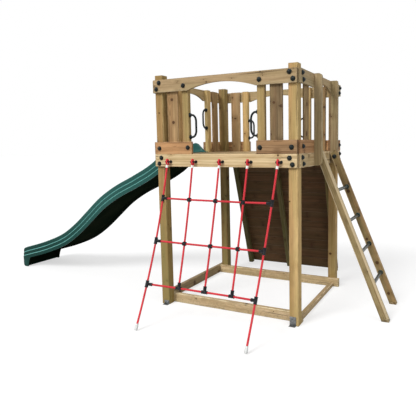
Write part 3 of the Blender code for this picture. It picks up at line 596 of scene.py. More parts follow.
@dataclass(frozen=True)
class TimberFinish:
    """One batch of timber and the colours that its boards vary between."""

    slot: str
    early: Colour
    late: Colour
    heart: Colour = (0.44, 0.215, 0.095)
    knot: Colour = (0.105, 0.046, 0.018)
    stain: Colour = (0.30, 0.27, 0.12)
    ring_width: float = 0.0062
    knots: float = 0.42
    checks: float = 0.5
    stains: float = 0.35
    hearts: float = 0.55
    dirt: float = 0.45
    # Paler arrises: wear, and painted highlight on edges that catch the light.
    wear: float = 0.35
    # Darkening of a post's foot below the deck: damp, and painted shade.
    damp_and_shade: float = 0.0
    # Painted light: a paler band along one face of the board.
    painted_light_band: float = 0.0
    spread: float = 0.10
    relief: ClassVar[float] = 0.0012
    specular: ClassVar[float] = 0.18

    def material(self, name: str, middle: Vector, turn: Euler, half: Vector,
                 many: bool = False, shade: float = 1.0) -> Material:
        """Material of one board, or of several boards that carry their own seed.

        Args:
            name: name of the board, which gives its seed.
            middle: middle of the board.
            turn: turn that brings the X axis along the board.
            half: half of the board's length, width and thickness.
            many: read the seed and the place from the mesh, board by board.
            shade: how light this board is beside its batch: its own tone, with painted light and
                shade for how light falls on it.

        Returns:
            The finished material.
        """
        seed = zlib.crc32(name.encode()) % 9973 / 100.0
        tint = shade * (1.0 + self.spread * math.sin(seed * 3.7))
        warm = 1.0 + 0.35 * self.spread * math.sin(seed * 5.1)
        early, late, heart = (tuple(min(1.0, c * tint * w) for c, w in
                                    zip(colour, (warm, 1.0, 1 / warm)))
                              for colour in (self.early, self.late, self.heart))
        material, graph, shader = new_material(f"{name}_timber")
        place = graph.node("ShaderNodeTexCoord").outputs["Object"]
        values = {"Ground": place, "Seed": seed, "Early Wood": early, "Late Wood": late,
                  "Heart Wood": heart, "Knot": self.knot, "Stain": self.stain,
                  "Ring Width": self.ring_width, "Knot Amount": self.knots,
                  "Check Amount": self.checks, "Stain Amount": self.stains,
                  "Heart Amount": self.hearts, "Dirt Amount": self.dirt, "Half Size": half,
                  "Wear Amount": self.wear, "Damp And Shade Amount": self.damp_and_shade,
                  "Painted Light Band Amount": self.painted_light_band,
                  "Wear": tuple(min(1.0, 1.25 * c + 0.10) for c in early)}
        if many:
            values["Board"] = graph.attribute("board_place", "Vector")
            values["Seed"] = graph.plus(graph.attribute("board_seed"), seed)
        else:
            spot = {"Vector": place, "Location": middle, "Rotation": turn}
            values["Board"] = graph.node("ShaderNodeMapping", spot,
                                         vector_type="TEXTURE").outputs["Vector"]
        use_group(graph, shader, SawnTimber.group(), values, self.relief)
        shader.inputs["Specular IOR Level"].default_value = self.specular
        return material


class SharedFinish:
    """Finish whose material is made once and shared by every piece that wears it."""

    name: str
    slot: str

    def material(self) -> Material:
        """The material, built on first use.

        Returns:
            The finished material.
        """
        found = bpy.data.materials.get(self.name)
        if found:
            return found
        material, graph, shader = new_material(self.name)
        self.paint(graph, shader, graph.node("ShaderNodeTexCoord").outputs["Object"])
        return material

    def piece(self, name: str, bm: BMesh, replaces: Iterable[str] = (),
              body: Body = Body.TOWER, sharp: float = 38.0,
              inner: SharedFinish | None = None) -> None:
        """Turn a bmesh into a piece that wears this finish.

        Args:
            name: name of the piece.
            bm: its mesh, which is freed.
            replaces: the CAD nodes that it stands for.
            body: the body that it rides on.
            sharp: angle in degrees above which an edge stays sharp.
            inner: finish of the faces with material index 1.
        """
        materials = [finish.material() for finish in (self, inner) if finish]
        finish_piece(name, bm, materials, body, self.slot, replaces, sharp)

    def paint(self, graph: Graph, shader: Node, place: object) -> None:
        """Add the finish's own nodes.

        Args:
            graph: graph of the material.
            shader: the Principled node.
            place: Object coordinates.
        """
        raise NotImplementedError


@dataclass(frozen=True)
class PlasticFinish(SharedFinish):
    """One colour of moulded plastic."""

    name: str
    slot: str
    base: Colour
    scuff: Colour
    scuffs: float = 0.3
    gloss: float = 0.34
    stipple: float = 0.5
    cloud: float = 0.18
    specular: float = 0.5
    # Painted light: how much paler the plastic grows higher up.
    fade: float = 0.0
    ridge_light_attribute: str = ""
    relief: ClassVar[float] = 0.0005

    def paint(self, graph: Graph, shader: Node, place: object) -> None:
        """Add the plastic's nodes.

        Args:
            graph: graph of the material.
            shader: the Principled node.
            place: Object coordinates.
        """
        ridge_light = graph.attribute(self.ridge_light_attribute) if self.ridge_light_attribute else 0.0
        values = {"Vector": place, "Base": self.base, "Scuff": self.scuff,
                  "Scuff Amount": self.scuffs, "Ridge Light": ridge_light, "Stipple": self.stipple,
                  "Gloss": self.gloss, "Cloud": self.cloud, "Fade": self.fade}
        use_group(graph, shader, MouldedSkin.group(), values, self.relief)
        shader.inputs["Specular IOR Level"].default_value = self.specular


@dataclass(frozen=True)
class ZincFinish(SharedFinish):
    """Galvanised, plated or blacked steel."""

    name: str
    slot: str
    light: Colour
    dark: Colour
    scale: float
    relief: ClassVar[float] = 0.0002
    metal: ClassVar[float] = 0.85

    def paint(self, graph: Graph, shader: Node, place: object) -> None:
        """Add the metal's nodes.

        Args:
            graph: graph of the material.
            shader: the Principled node.
            place: Object coordinates.
        """
        values = {"Vector": place, "Light": self.light, "Dark": self.dark, "Scale": self.scale}
        use_group(graph, shader, Spangle.group(), values, self.relief)
        shader.inputs["Metallic"].default_value = self.metal


@dataclass(frozen=True)
class RopeFinish(SharedFinish):
    """Laid rope of coloured yarn; its grooves are painted darker as shade and its crowns a little
    faded.
    """

    name: str
    slot: str
    crown: Colour
    groove: Colour
    relief: ClassVar[float] = 0.0006
    sheen: ClassVar[float] = 0.15

    def paint(self, graph: Graph, shader: Node, place: object) -> None:
        """Add the rope's nodes.

        Args:
            graph: graph of the material.
            shader: the Principled node.
            place: Object coordinates.
        """
        yarn = graph.noise(place, scale=1400.0, detail=2.0)
        patch = graph.noise(place, scale=9.0, detail=2.0)
        tone = graph.plus(graph.times(graph.attribute("groove"), 0.75), graph.times(yarn, 0.30))
        faded = tuple(min(1.0, c * 1.15 + 0.02) for c in self.crown)
        colour = graph.mix(graph.times(graph.step(patch, 0.5, 0.8), 0.4),
                           graph.mix(tone, self.crown, self.groove), faded)
        graph.feed(shader.inputs["Base Color"], colour)
        graph.feed(shader.inputs["Roughness"], graph.scaled(yarn, 0.2, 0.55))
        bump = graph.node("ShaderNodeBump", {"Height": yarn, "Distance": self.relief,
                                             "Strength": 0.6})
        graph.feed(shader.inputs["Normal"], bump.outputs["Normal"])
        shader.inputs["Sheen Weight"].default_value = self.sheen


POSTS = TimberFinish("post_timber", (0.66, 0.468, 0.212), (0.365, 0.225, 0.082), checks=0.9,
                     stain=(0.27, 0.235, 0.080), stains=0.32)
# A darker copy of the post timber for the two left posts: damp, and painted shade under the deck.
SHADED_DAMP_POSTS = TimberFinish("post_timber", (0.64, 0.450, 0.185), (0.30, 0.185, 0.058), checks=0.9,
                          stain=(0.21, 0.180, 0.062), stains=0.40, knots=0.55, damp_and_shade=0.75)
BEAMS = TimberFinish("beam_timber", (0.86, 0.680, 0.410), (0.46, 0.310, 0.140), knots=0.30,
                     ring_width=0.0085, wear=0.9, checks=1.3, stains=0.12,
                     stain=(0.50, 0.42, 0.22), hearts=0.1, dirt=0.3)
RAILS = TimberFinish("rail_timber", (0.59, 0.455, 0.262), (0.300, 0.205, 0.098), checks=0.8,
                     knots=0.34, hearts=0.3)
KICKS = TimberFinish("kick_timber", (0.70, 0.420, 0.210), (0.190, 0.090, 0.036), stains=0.15,
                     heart=(0.60, 0.315, 0.140), stain=(0.36, 0.25, 0.12), hearts=0.6,
                     checks=1.2, ring_width=0.0115)
INFILLS = TimberFinish("infill_timber", (0.47, 0.315, 0.158), (0.190, 0.112, 0.050), knots=0.80,
                       spread=0.16, stains=0.20, hearts=0.45)
DECKING = TimberFinish("deck_timber", (0.60, 0.45, 0.26), (0.36, 0.25, 0.12), spread=0.15)
WALLING = TimberFinish("wall_timber", (0.235, 0.128, 0.060), (0.085, 0.043, 0.018), knots=0.45,
                       heart=(0.20, 0.085, 0.035), spread=0.15, stains=0.4,
                       stain=(0.090, 0.062, 0.024), dirt=0.8)
# The ladder's wood is painted darker than the frame's, as shade on its wide faces; its high dirt
# darkens it further.
SHADED_LADDER = TimberFinish("ladder_timber", (0.38, 0.280, 0.135), (0.170, 0.112, 0.045), stains=0.35,
                      stain=(0.27, 0.235, 0.095), knots=0.62, checks=0.9, wear=1.0, dirt=0.8)
# The front rail's copy carries a painted band of light along its lit face.
SHADED_LADDER_WITH_LIT_BAND = replace(SHADED_LADDER, painted_light_band=0.95)
BEARERS = TimberFinish("wall_timber", (0.27, 0.220, 0.088), (0.150, 0.115, 0.040), stains=0.55,
                       stain=(0.14, 0.145, 0.048), dirt=0.6)
GROUND = TimberFinish("rail_timber", (0.80, 0.610, 0.370), (0.470, 0.320, 0.155), checks=0.9,
                      knots=0.30, stains=0.32, stain=(0.33, 0.29, 0.12), hearts=0.4,
                      heart=(0.62, 0.40, 0.23), dirt=1.0, wear=0.9)
# The slide's skin grows paler higher up and along the ledges: painted light and painted highlight.
SLIDE_SKIN = PlasticFinish("slide_green", "slide_plastic", (0.000, 0.033, 0.025),
                           (0.16, 0.46, 0.42), scuffs=0.08, gloss=0.24, stipple=0.25,
                           cloud=0.02, specular=0.10, fade=0.115, ridge_light_attribute="ridge")
# Near-black skin for the slide's underside and the apron's back and inner faces: painted shade on
# faces in shade.
SLIDE_SHADED_UNDERSIDE = PlasticFinish("slide_underside_painted_shade", "slide_plastic", (0.0070, 0.0130, 0.0075),
                           (0.045, 0.048, 0.028), scuffs=0.25, gloss=0.66, stipple=1.2, cloud=0.16,
                           specular=0.0)
HANDLE_SKIN = PlasticFinish("handle_black", "handle_plastic", (0.004, 0.008, 0.008),
                            (0.05, 0.065, 0.065), scuffs=0.2, gloss=0.30, cloud=0.06,
                            specular=0.16)
CAP_SKIN = PlasticFinish("cap_black", "handle_plastic", (0.003, 0.007, 0.007),
                         (0.04, 0.06, 0.055), scuffs=0.1, gloss=0.22, cloud=0.06, specular=0.20)
RUNG_SKIN = PlasticFinish("rung_grey", "rung_plastic", (0.013, 0.025, 0.019),
                          (0.20, 0.25, 0.22), scuffs=0.6, gloss=0.20, cloud=0.08, specular=0.35)
JOINT_SKIN = PlasticFinish("joint_black", "handle_plastic", (0.006, 0.007, 0.009),
                           (0.05, 0.055, 0.06), scuffs=0.15, gloss=0.34, cloud=0.08,
                           specular=0.16)
WHITE_SKIN = PlasticFinish("cap_white", "net_rope", (0.80, 0.80, 0.78), (0.62, 0.60, 0.55),
                           scuffs=0.3, gloss=0.36)
TIP_SKIN = PlasticFinish("tip_milky", "net_rope", (0.60, 0.61, 0.60), (0.34, 0.34, 0.33),
                         scuffs=0.3, gloss=0.30)
ROPE = RopeFinish("rope_red", "net_rope", (0.72, 0.010, 0.026), (0.25, 0.003, 0.008))
ZINC = ZincFinish("zinc_plate", "rung_plastic", (0.30, 0.305, 0.30), (0.070, 0.073, 0.075), 85.0)
STEEL = ZincFinish("plated_steel", "rung_plastic", (0.42, 0.38, 0.32), (0.20, 0.175, 0.145), 200.0)
BLACK_STEEL = ZincFinish("blacked_steel", "rung_plastic", (0.030, 0.032, 0.034),
                         (0.010, 0.011, 0.012), 160.0)
HOLD_COLOURS: tuple[Colour, ...] = ((0.52, 0.035, 0.030), (0.62, 0.36, 0.020), (0.03, 0.18, 0.42),
                                    (0.06, 0.30, 0.10))


# Mesh helpers


def finish_piece(name: str, bm: BMesh, materials: Sequence[Material],
                 body: Body, slot: str, replaces: Iterable[str] = (),
                 sharp: float = 38.0) -> None:
    """Turn a bmesh, made round the tower's middle, into a piece with its faces outwards.

    Args:
        name: name of the piece.
        bm: its mesh, which is freed.
        materials: its materials, by face material index.
        body: the body that it rides on.
        slot: name of the piece's material slot; not used.
        replaces: the CAD nodes that it stands for.
        sharp: angle in degrees above which an edge stays sharp.
    """
    bmesh.ops.translate(bm, vec=MIDDLE, verts=bm.verts)
    bmesh.ops.recalc_face_normals(bm, faces=bm.faces)
    mesh = bpy.data.meshes.new(name)
    bm.to_mesh(mesh)
    bm.free()
    mesh.shade_smooth()
    mesh.set_sharp_from_angle(angle=math.radians(sharp))
    for material in materials:
        mesh.materials.append(material)
    piece = bpy.data.objects.new(name, mesh)
    bpy.context.scene.collection.objects.link(piece)
    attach(piece, body.value)
    nodes = list(replaces)
    if nodes:
        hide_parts(*nodes)
    LOG.info("%s: %d faces on %s", name, len(mesh.polygons), body.value)


def frame_along(direction: Vector, start: Vector) -> Matrix:
    """Matrix that puts local +Z along a direction, with its origin at a point."""
    return Matrix.Translation(start) @ direction.to_track_quat("Z", "Y").to_matrix().to_4x4()


def turned(bm: BMesh, profile: Sequence[tuple[float, float]], place: Matrix,
           sides: int = 24) -> None:
    """Solid of revolution, spun from a profile of (radius, height) points.

    Args:
        bm: mesh to add to.
        profile: points from the lower end of the axis to the upper end.
        place: matrix from the turning axis (+Z) to its place.
        sides: number of steps round the axis.
    """
    before = set(bm.verts)
    chain = [bm.verts.new((radius, 0.0, height)) for radius, height in profile]
    edges = [bm.edges.new(pair) for pair in zip(chain, chain[1:])]
    bmesh.ops.spin(bm, geom=[*chain, *edges], cent=(0, 0, 0), axis=(0, 0, 1), dvec=(0, 0, 0),
                   angle=math.tau, steps=sides, use_merge=True, use_duplicate=False)
    new = [vert for vert in bm.verts if vert not in before]
    bmesh.ops.remove_doubles(bm, verts=new, dist=1e-6)
    new = [vert for vert in bm.verts if vert not in before]
    bmesh.ops.transform(bm, matrix=place, verts=new)


def rounded_box(bm: BMesh, low: Vector, high: Vector, radius: float) -> list[BMVert]:
    """Box between two corners with its edges rounded.

    Args:
        bm: mesh to add to.
        low: lowest corner.
        high: highest corner.
        radius: width of the rounding.

    Returns:
        The new vertices.
    """
    before = set(bm.verts)
    verts = bmesh.ops.create_cube(bm, size=1.0)["verts"]
    bmesh.ops.scale(bm, vec=high - low, verts=verts)
    bmesh.ops.translate(bm, vec=(low + high) / 2, verts=verts)
    edges = list({edge for vert in verts for edge in vert.link_edges})
    bmesh.ops.bevel(bm, geom=edges, offset=radius, segments=2, profile=0.5,
                    affect="EDGES", material=-1)
    return [vert for vert in bm.verts if vert not in before]


def plate(bm: BMesh, corners: Iterable[Sequence[float]], thick: Sequence[float]) -> None:
    """Flat or bent plate, extruded from its outline.

    Args:
        bm: mesh to add to.
        corners: corners of its outline, in order.
        thick: step from its first face to its second.
    """
    face = bm.faces.new([bm.verts.new(corner) for corner in corners])
    grown = bmesh.ops.extrude_face_region(bm, geom=[face])["geom"]
    verts = [item for item in grown if isinstance(item, BMVert)]
    bmesh.ops.translate(bm, vec=thick, verts=verts)


def rolled_grid(bm: BMesh, length: int, round_count: int,
                place: Callable[[BMVert, int, int], Vector],
                material: Callable[[int], int] | None = None) -> None:
    """Grid that is rolled up into a closed tube, with both its ends filled.

    Args:
        bm: mesh to add to.
        length: number of rings.
        round_count: number of vertices in a ring.
        place: gives the place of a vertex from its ring and its number in the ring.
        material: material index of the faces that start at a number in the ring.
    """
    made = bmesh.ops.create_grid(bm, x_segments=length - 1, y_segments=round_count,
                                 size=1.0)["verts"]
    spot = {}
    for vert in made:
        spot[vert] = (round((vert.co.x + 1) / 2 * (length - 1)),
                      round((vert.co.y + 1) / 2 * round_count))
    if material:
        for face in {face for vert in made for face in vert.link_faces}:
            face.material_index = material(min(spot[vert][1] for vert in face.verts))
    for vert, (row, column) in spot.items():
        vert.co = place(vert, row, column % round_count)
    seam = [vert for vert, (_, column) in spot.items() if column in (0, round_count)]
    bmesh.ops.remove_doubles(bm, verts=seam, dist=1e-6)
    rims = [edge for vert, (row, _) in spot.items() if vert.is_valid and row in (0, length - 1)
            for edge in vert.link_edges if edge.is_boundary]
    bmesh.ops.edgeloop_fill(bm, edges=list(set(rims)))


def swept(bm: BMesh, path: Sequence[Vector], ring: Callable[[int, float], float],
          sides: int, twist: float = 0.0,
          mark: Callable[[BMVert, float], None] | None = None) -> None:
    """Closed tube along a path.

    Args:
        bm: mesh to add to.
        path: points along the middle of the tube.
        ring: radius at a point's number and at an angle round the tube.
        sides: number of vertices in a ring.
        twist: turn of the ring in radians per metre of path.
        mark: called with each vertex and its angle, to set attributes.
    """
    frames: list[tuple[Vector, Vector, float]] = []
    normal, travelled = None, 0.0
    for number, point in enumerate(path):
        ahead = path[min(number + 1, len(path) - 1)] - path[max(number - 1, 0)]
        tangent = ahead.normalized()
        if normal is None:
            normal = tangent.orthogonal()
        else:
            travelled += (point - path[number - 1]).length
        normal = (normal - tangent * normal.dot(tangent)).normalized()
        frames.append((normal.copy(), tangent.cross(normal), travelled))

    def place(vert: BMVert, row: int, column: int) -> Vector:
        """Put a vertex in its ring and mark it.

        Args:
            vert: the vertex.
            row: number of its ring.
            column: its number in the ring.

        Returns:
            Its place.
        """
        angle = math.tau * column / sides
        if mark:
            mark(vert, angle)
        out, side, run = frames[row]
        at = angle + twist * run
        return path[row] + (out * math.cos(at) + side * math.sin(at)) * ring(row, angle)

    rolled_grid(bm, len(path), sides, place)


def resampled(points: Sequence[Vector], spacing: float) -> list[Vector]:
    """Evenly spaced points along a smooth curve through the given points.

    Args:
        points: the points that the curve passes through.
        spacing: distance between two new points, about.

    Returns:
        The new points, with the first and last kept.
    """
    steps, dense = 24, []
    padded = [points[0] * 2 - points[1], *points, points[-1] * 2 - points[-2]]
    for a, b, c, d in zip(padded, padded[1:], padded[2:], padded[3:]):
        for step in range(steps):
            t = step / steps
            dense.append(0.5 * (2 * b + (c - a) * t + (2 * a - 5 * b + 4 * c - d) * t * t
                                + (3 * b - a - 3 * c + d) * t ** 3))
    dense.append(Vector(points[-1]))
    total = sum((b - a).length for a, b in zip(dense, dense[1:]))
    count = max(2, round(total / spacing))
    result, walked, index = [dense[0].copy()], 0.0, 0
    for number in range(1, count):
        target = total * number / count
        while walked + (dense[index + 1] - dense[index]).length < target:
            walked += (dense[index + 1] - dense[index]).length
            index += 1
        step = dense[index + 1] - dense[index]
        result.append(dense[index] + step * ((target - walked) / step.length))
    result.append(dense[-1].copy())
    return result


# Timber frame


@dataclass
class TimberFrame:
    """The straight timbers of the CAD model, each given its own cut of wood."""

    leaning: dict[str, tuple[Vector, Vector]] = field(default_factory=lambda: {
        "ladder_rail_": (Vector((math.sin(LADDER_LEAN), 0.0, -math.cos(LADDER_LEAN))),
                         Vector((0.80, 0.0175, 0.035))),
        "wall_stringer_": (Vector((0.0, -WALL_SLOPE, 1.0)).normalized(),
                           Vector((0.80, 0.0225, 0.035))),
    })
    finishes: tuple[tuple[str, TimberFinish], ...] = (
        ("post_front_left", SHADED_DAMP_POSTS), ("post_back_left", SHADED_DAMP_POSTS),
        ("post_", POSTS), ("ground_rail_", GROUND), ("floor_beam_", BEAMS), ("top_rail_", RAILS),
        ("kick_board_", KICKS), ("upright_", POSTS), ("entry_board_", RAILS),
        ("infill_board_", INFILLS), ("ladder_rail_front", SHADED_LADDER_WITH_LIT_BAND),
        ("ladder_rail_", SHADED_LADDER), ("wall_stringer_", BEARERS),
    )
    # Per-board lightness: partly each board's own tone, partly painted shade on boards in shade
    # (under the deck, inner and far sides) and painted light on a few lit ones.
    tones_and_painted_shade: dict[str, float] = field(default_factory=lambda: {
        "kick_board_front_left": 1.08, "kick_board_front_right": 0.71,
        "kick_board_ladder_front": 0.85, "kick_board_ladder_back": 0.80,
        "infill_board_front_left": 1.00, "infill_board_front_right": 0.66,
        "infill_board_ladder_front": 0.85, "infill_board_ladder_back": 0.80,
        "upright_front_right": 0.80, "upright_front_left": 0.72, "entry_board_back": 0.66,
        "entry_board_front": 0.80, "top_rail_right": 0.86, "floor_beam_right": 0.80,
        "top_rail_front": 0.89, "ladder_rail_front": 0.84,
        "post_back_left": 0.61, "post_back_right": 0.78, "post_front_left": 0.84,
        "post_front_right": 1.06, "ground_rail_left": 0.60, "ground_rail_front": 1.06,
        "wall_stringer_left": 0.50, "wall_stringer_middle": 0.80, "ladder_rail_back": 1.12,
    })

    def grain(self, name: str, size: Vector) -> tuple[Quaternion, Vector]:
        """How a timber's grain lies: along its longest side, or down its lean.

        Args:
            name: the CAD node.
            size: lengths of its box.

        Returns:
            Turn that brings X along the grain, and half the timber's own lengths.
        """
        for prefix, (along, half) in self.leaning.items():
            if name.startswith(prefix):
                return along.to_track_quat("X", "Z"), half
        axis = max(range(3), key=lambda i: size[i])
        turn = Vector([float(i == axis) for i in range(3)]).to_track_quat("X", "Z")
        local = turn.inverted().to_matrix()
        return turn, Vector([sum(abs(local[i][j]) * size[j] for j in range(3)) / 2
                             for i in range(3)])

    def dress(self, nodes: dict[str, Object]) -> None:
        """Give each straight timber its own material.

        Args:
            nodes: the CAD nodes by name.
        """
        for name, node in nodes.items():
            finish = next((f for prefix, f in self.finishes if name.startswith(prefix)), None)
            if finish is None:
                continue
            low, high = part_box(name)
            turn, half = self.grain(name, high - low)
            material = finish.material(name, (low + high) / 2, turn.to_euler(), half,
                                       shade=self.tones_and_painted_shade.get(name, 1.0))
            node.data.materials.clear()
            node.data.materials.append(material)
            LOG.info("%s: dressed in %s", name, finish.slot)


@dataclass
class BoardLayout:
    """Several loose boards made as one piece, each carrying its own seed and place."""

    name: str
    finish: TimberFinish
    edge: float = 0.003
    boards: list[tuple[Matrix, Vector]] = field(default_factory=list)

    def add(self, place: Matrix, size: Vector) -> None:
        """Add one board of a size, placed by a matrix from its own X-long box."""
        self.boards.append((place, size))

    def make(self, replaces: Iterable[str]) -> None:
        """Build the boards.

        Args:
            replaces: the CAD nodes that they stand for.
        """
        bm = bmesh.new()
        seed = bm.verts.layers.float.new("board_seed")
        spot = bm.verts.layers.float_vector.new("board_place")
        for number, (place, size) in enumerate(self.boards):
            verts = rounded_box(bm, -size / 2, size / 2, self.edge)
            for vert in verts:
                vert[seed] = 1.713 * number
                vert[spot] = vert.co
            bmesh.ops.transform(bm, matrix=place, verts=verts)
        half = self.boards[0][1] / 2
        material = self.finish.material(self.name, Vector(), Euler(), half, many=True)
        finish_piece(self.name, bm, [material], Body.TOWER, self.finish.slot, replaces)


@dataclass
class Deck:
    """Deck boards on their joists, notched round the posts, with their screws."""

    boards: int = 11
    thick: float = 0.022
    gap: float = 0.006
    board_edge: float = 0.0025
    joist_places: tuple[float, ...] = (-0.60, -0.20, 0.20, 0.60)
    joist_thick: float = 0.045
    joist_height: float = 0.082
    joist_edge: float = 0.002
    post: float = 0.0856
    screw_side: float = 0.034

    @property
    def pitch(self) -> float:
        """Distance from one board to the next."""
        return 2 * HALF_DEPTH / self.boards

    def make(self) -> None:
        """Build the boards, the joists and the screws."""
        self.make_boards()
        self.make_joists()
        bm = bmesh.new()
        for number in range(self.boards):
            y = -HALF_DEPTH + self.pitch * (number + 0.5)
            for x in self.joist_places:
                for side in (-1, 1):
                    point = Vector((x, y + side * self.screw_side, DECK_HEIGHT + PROUD))
                    Screw.add(bm, point, Vector((0, 0, 1)))
        STEEL.piece("deck_screws", bm)

    def make_boards(self) -> None:
        """Build the boards; the first and the last stop short of the posts."""
        layout = BoardLayout("deck_boards", DECKING, edge=self.board_edge)
        length = 2 * (HALF_WIDTH - TOUCH)
        last = self.boards - 1
        for number in range(self.boards):
            low = -HALF_DEPTH + self.pitch * number + (TOUCH if number == 0 else self.gap / 2)
            high = -HALF_DEPTH + self.pitch * (number + 1) - (TOUCH if number == last
                                                              else self.gap / 2)
            run = length - 2 * self.post if number in (0, last) else length
            place = Matrix.Translation((0.0, (low + high) / 2, DECK_HEIGHT - self.thick / 2))
            layout.add(place, Vector((run, high - low, self.thick)))
        layout.make(["deck"])

    def make_joists(self) -> None:
        """Build the joists under the boards."""
        layout = BoardLayout("deck_joists", DECKING, edge=self.joist_edge)
        turn = Matrix.Rotation(math.radians(90), 4, "Z")
        for x in self.joist_places:
            middle = Vector((x, 0.0, DECK_HEIGHT - self.thick - self.joist_height / 2))
            layout.add(Matrix.Translation(middle) @ turn,
                       Vector((2 * (HALF_DEPTH - TOUCH), self.joist_thick, self.joist_height)))
        layout.make(["deck"])


class Screw:
    """Countersunk wood screw head with a driver recess."""

    PROFILE = ((0.0, -0.0010), (0.0014, -0.0010), (0.0018, 0.0), (0.0040, 0.0006),
               (0.0045, 0.0), (0.0045, -0.0012))

    @classmethod
    def add(cls, bm: BMesh, point: Vector, out: Vector) -> None:
        """Add one screw head that faces a direction."""
        turned(bm, cls.PROFILE, frame_along(out, point), sides=10)


# Bolts and brackets


@dataclass
class BoltCap:
    """Domed plastic cap on a round washer, over a coach bolt."""

    radius: float = 0.0220
    rise: float = 0.0210
    washer: float = 0.0048
    dome: float = 0.80
    steps: int = 5

    def add(self, bm: BMesh, point: Vector, out: Vector) -> None:
        """Add one cap.

        Args:
            bm: mesh to add to.
            point: middle of its base, on the timber.
            out: direction that it faces.
        """
        rim, washer = self.radius, self.washer
        profile = [(0.0, -0.002), (rim * 0.96, -0.002), (rim, 0.0005), (rim, 0.0035),
                   (rim * 0.94, 0.0045), (rim * self.dome, washer)]
        for step in range(1, self.steps + 1):
            angle = math.radians(90 * step / self.steps)
            profile.append((rim * self.dome * math.cos(angle),
                            washer + (self.rise - washer) * math.sin(angle)))
        turned(bm, profile, frame_along(out, point), sides=20)


@dataclass
class Fixings:
    """Bolt caps on all four faces and the galvanised angles at the front feet."""

    front: tuple[tuple[float, float], ...] = (
        (-0.660, 2.176), (0.660, 2.176), (-0.692, 2.118), (0.692, 2.118), (-0.386, 2.133),
        (0.386, 2.133), (-0.677, 1.557), (0.677, 1.557), (-0.352, 1.562), (0.386, 1.556),
        (-0.658, 1.466), (0.658, 1.466), (-0.684, 1.410), (0.684, 1.410),
    )
    side: tuple[tuple[float, float], ...] = (
        (-0.612, 2.171), (0.612, 2.171), (-0.590, 2.116), (0.590, 2.116), (-0.600, 1.563),
        (0.600, 1.563), (-0.618, 1.469), (0.618, 1.469), (-0.590, 1.414), (0.590, 1.414),
    )
    slide_only: tuple[tuple[float, float], ...] = ((-0.273, 2.133), (0.273, 2.133),
                                                   (-0.273, 1.556), (0.273, 1.556))
    entry: Vector = field(default_factory=lambda: Vector((0.800, 0.2193, 1.452)))
    brackets: tuple[tuple[float, float, float], ...] = ((0.643, 0.703, 0.082),
                                                        (-0.700, -0.641, 0.040))
    bracket_plate: float = 0.003
    bracket_foot: float = 0.034
    bracket_bolts: tuple[tuple[float, float], ...] = ((0.672, 0.040), (0.692, 0.066),
                                                      (-0.686, 0.022), (-0.655, 0.022))
    BOLT: ClassVar = ((0.0, -0.001), (0.0100, -0.001), (0.0100, 0.0022), (0.0072, 0.0024),
                      (0.0072, 0.0070), (0.0060, 0.0080), (0.0, 0.0084))

    def spot(self, face: Face, along: float, height: float) -> Vector:
        """Place on an outside face, from its side position and height."""
        x, y, _ = face.value
        return Vector((x * FACE_X or along, y * FACE_Y or along, height))

    def make(self) -> None:
        """Build the caps of each face and the brackets."""
        cap = BoltCap()
        mirrored = tuple((-x, z) for x, z in self.front)
        table = {Face.FRONT: self.front, Face.BACK: mirrored,
                 Face.LEFT: self.side + self.slide_only, Face.RIGHT: self.side}
        for face, spots in table.items():
            bm = bmesh.new()
            for along, height in spots:
                cap.add(bm, self.spot(face, along, height), Vector(face.value))
            CAP_SKIN.piece(f"bolt_caps_{face.name.lower()}", bm)
        bm = bmesh.new()
        for sign in (-1, 1):
            point = Vector((self.entry.x, sign * self.entry.y, self.entry.z))
            cap.add(bm, point, Vector((0.0, -sign, 0.0)))
        CAP_SKIN.piece("bolt_caps_entry", bm)
        self.make_brackets()

    def make_brackets(self) -> None:
        """Build the two bent plates at the front posts' feet, with their bolts."""
        bm = bmesh.new()
        face, plate, edge, lift = -HALF_DEPTH, self.bracket_plate, 0.0012, 0.0004
        for low_x, high_x, top in self.brackets:
            rounded_box(bm, Vector((low_x, face - plate, 0.002)),
                        Vector((high_x, face - PROUD, top)), edge)
            rounded_box(bm, Vector((low_x, face - self.bracket_foot, lift)),
                        Vector((high_x, face - PROUD, lift + plate)), edge)
        for x, z in self.bracket_bolts:
            turned(bm, self.BOLT, frame_along(Vector((0, -1, 0)), Vector((x, face - plate, z))), 12)
        ZINC.piece("foot_brackets", bm)


# Slide


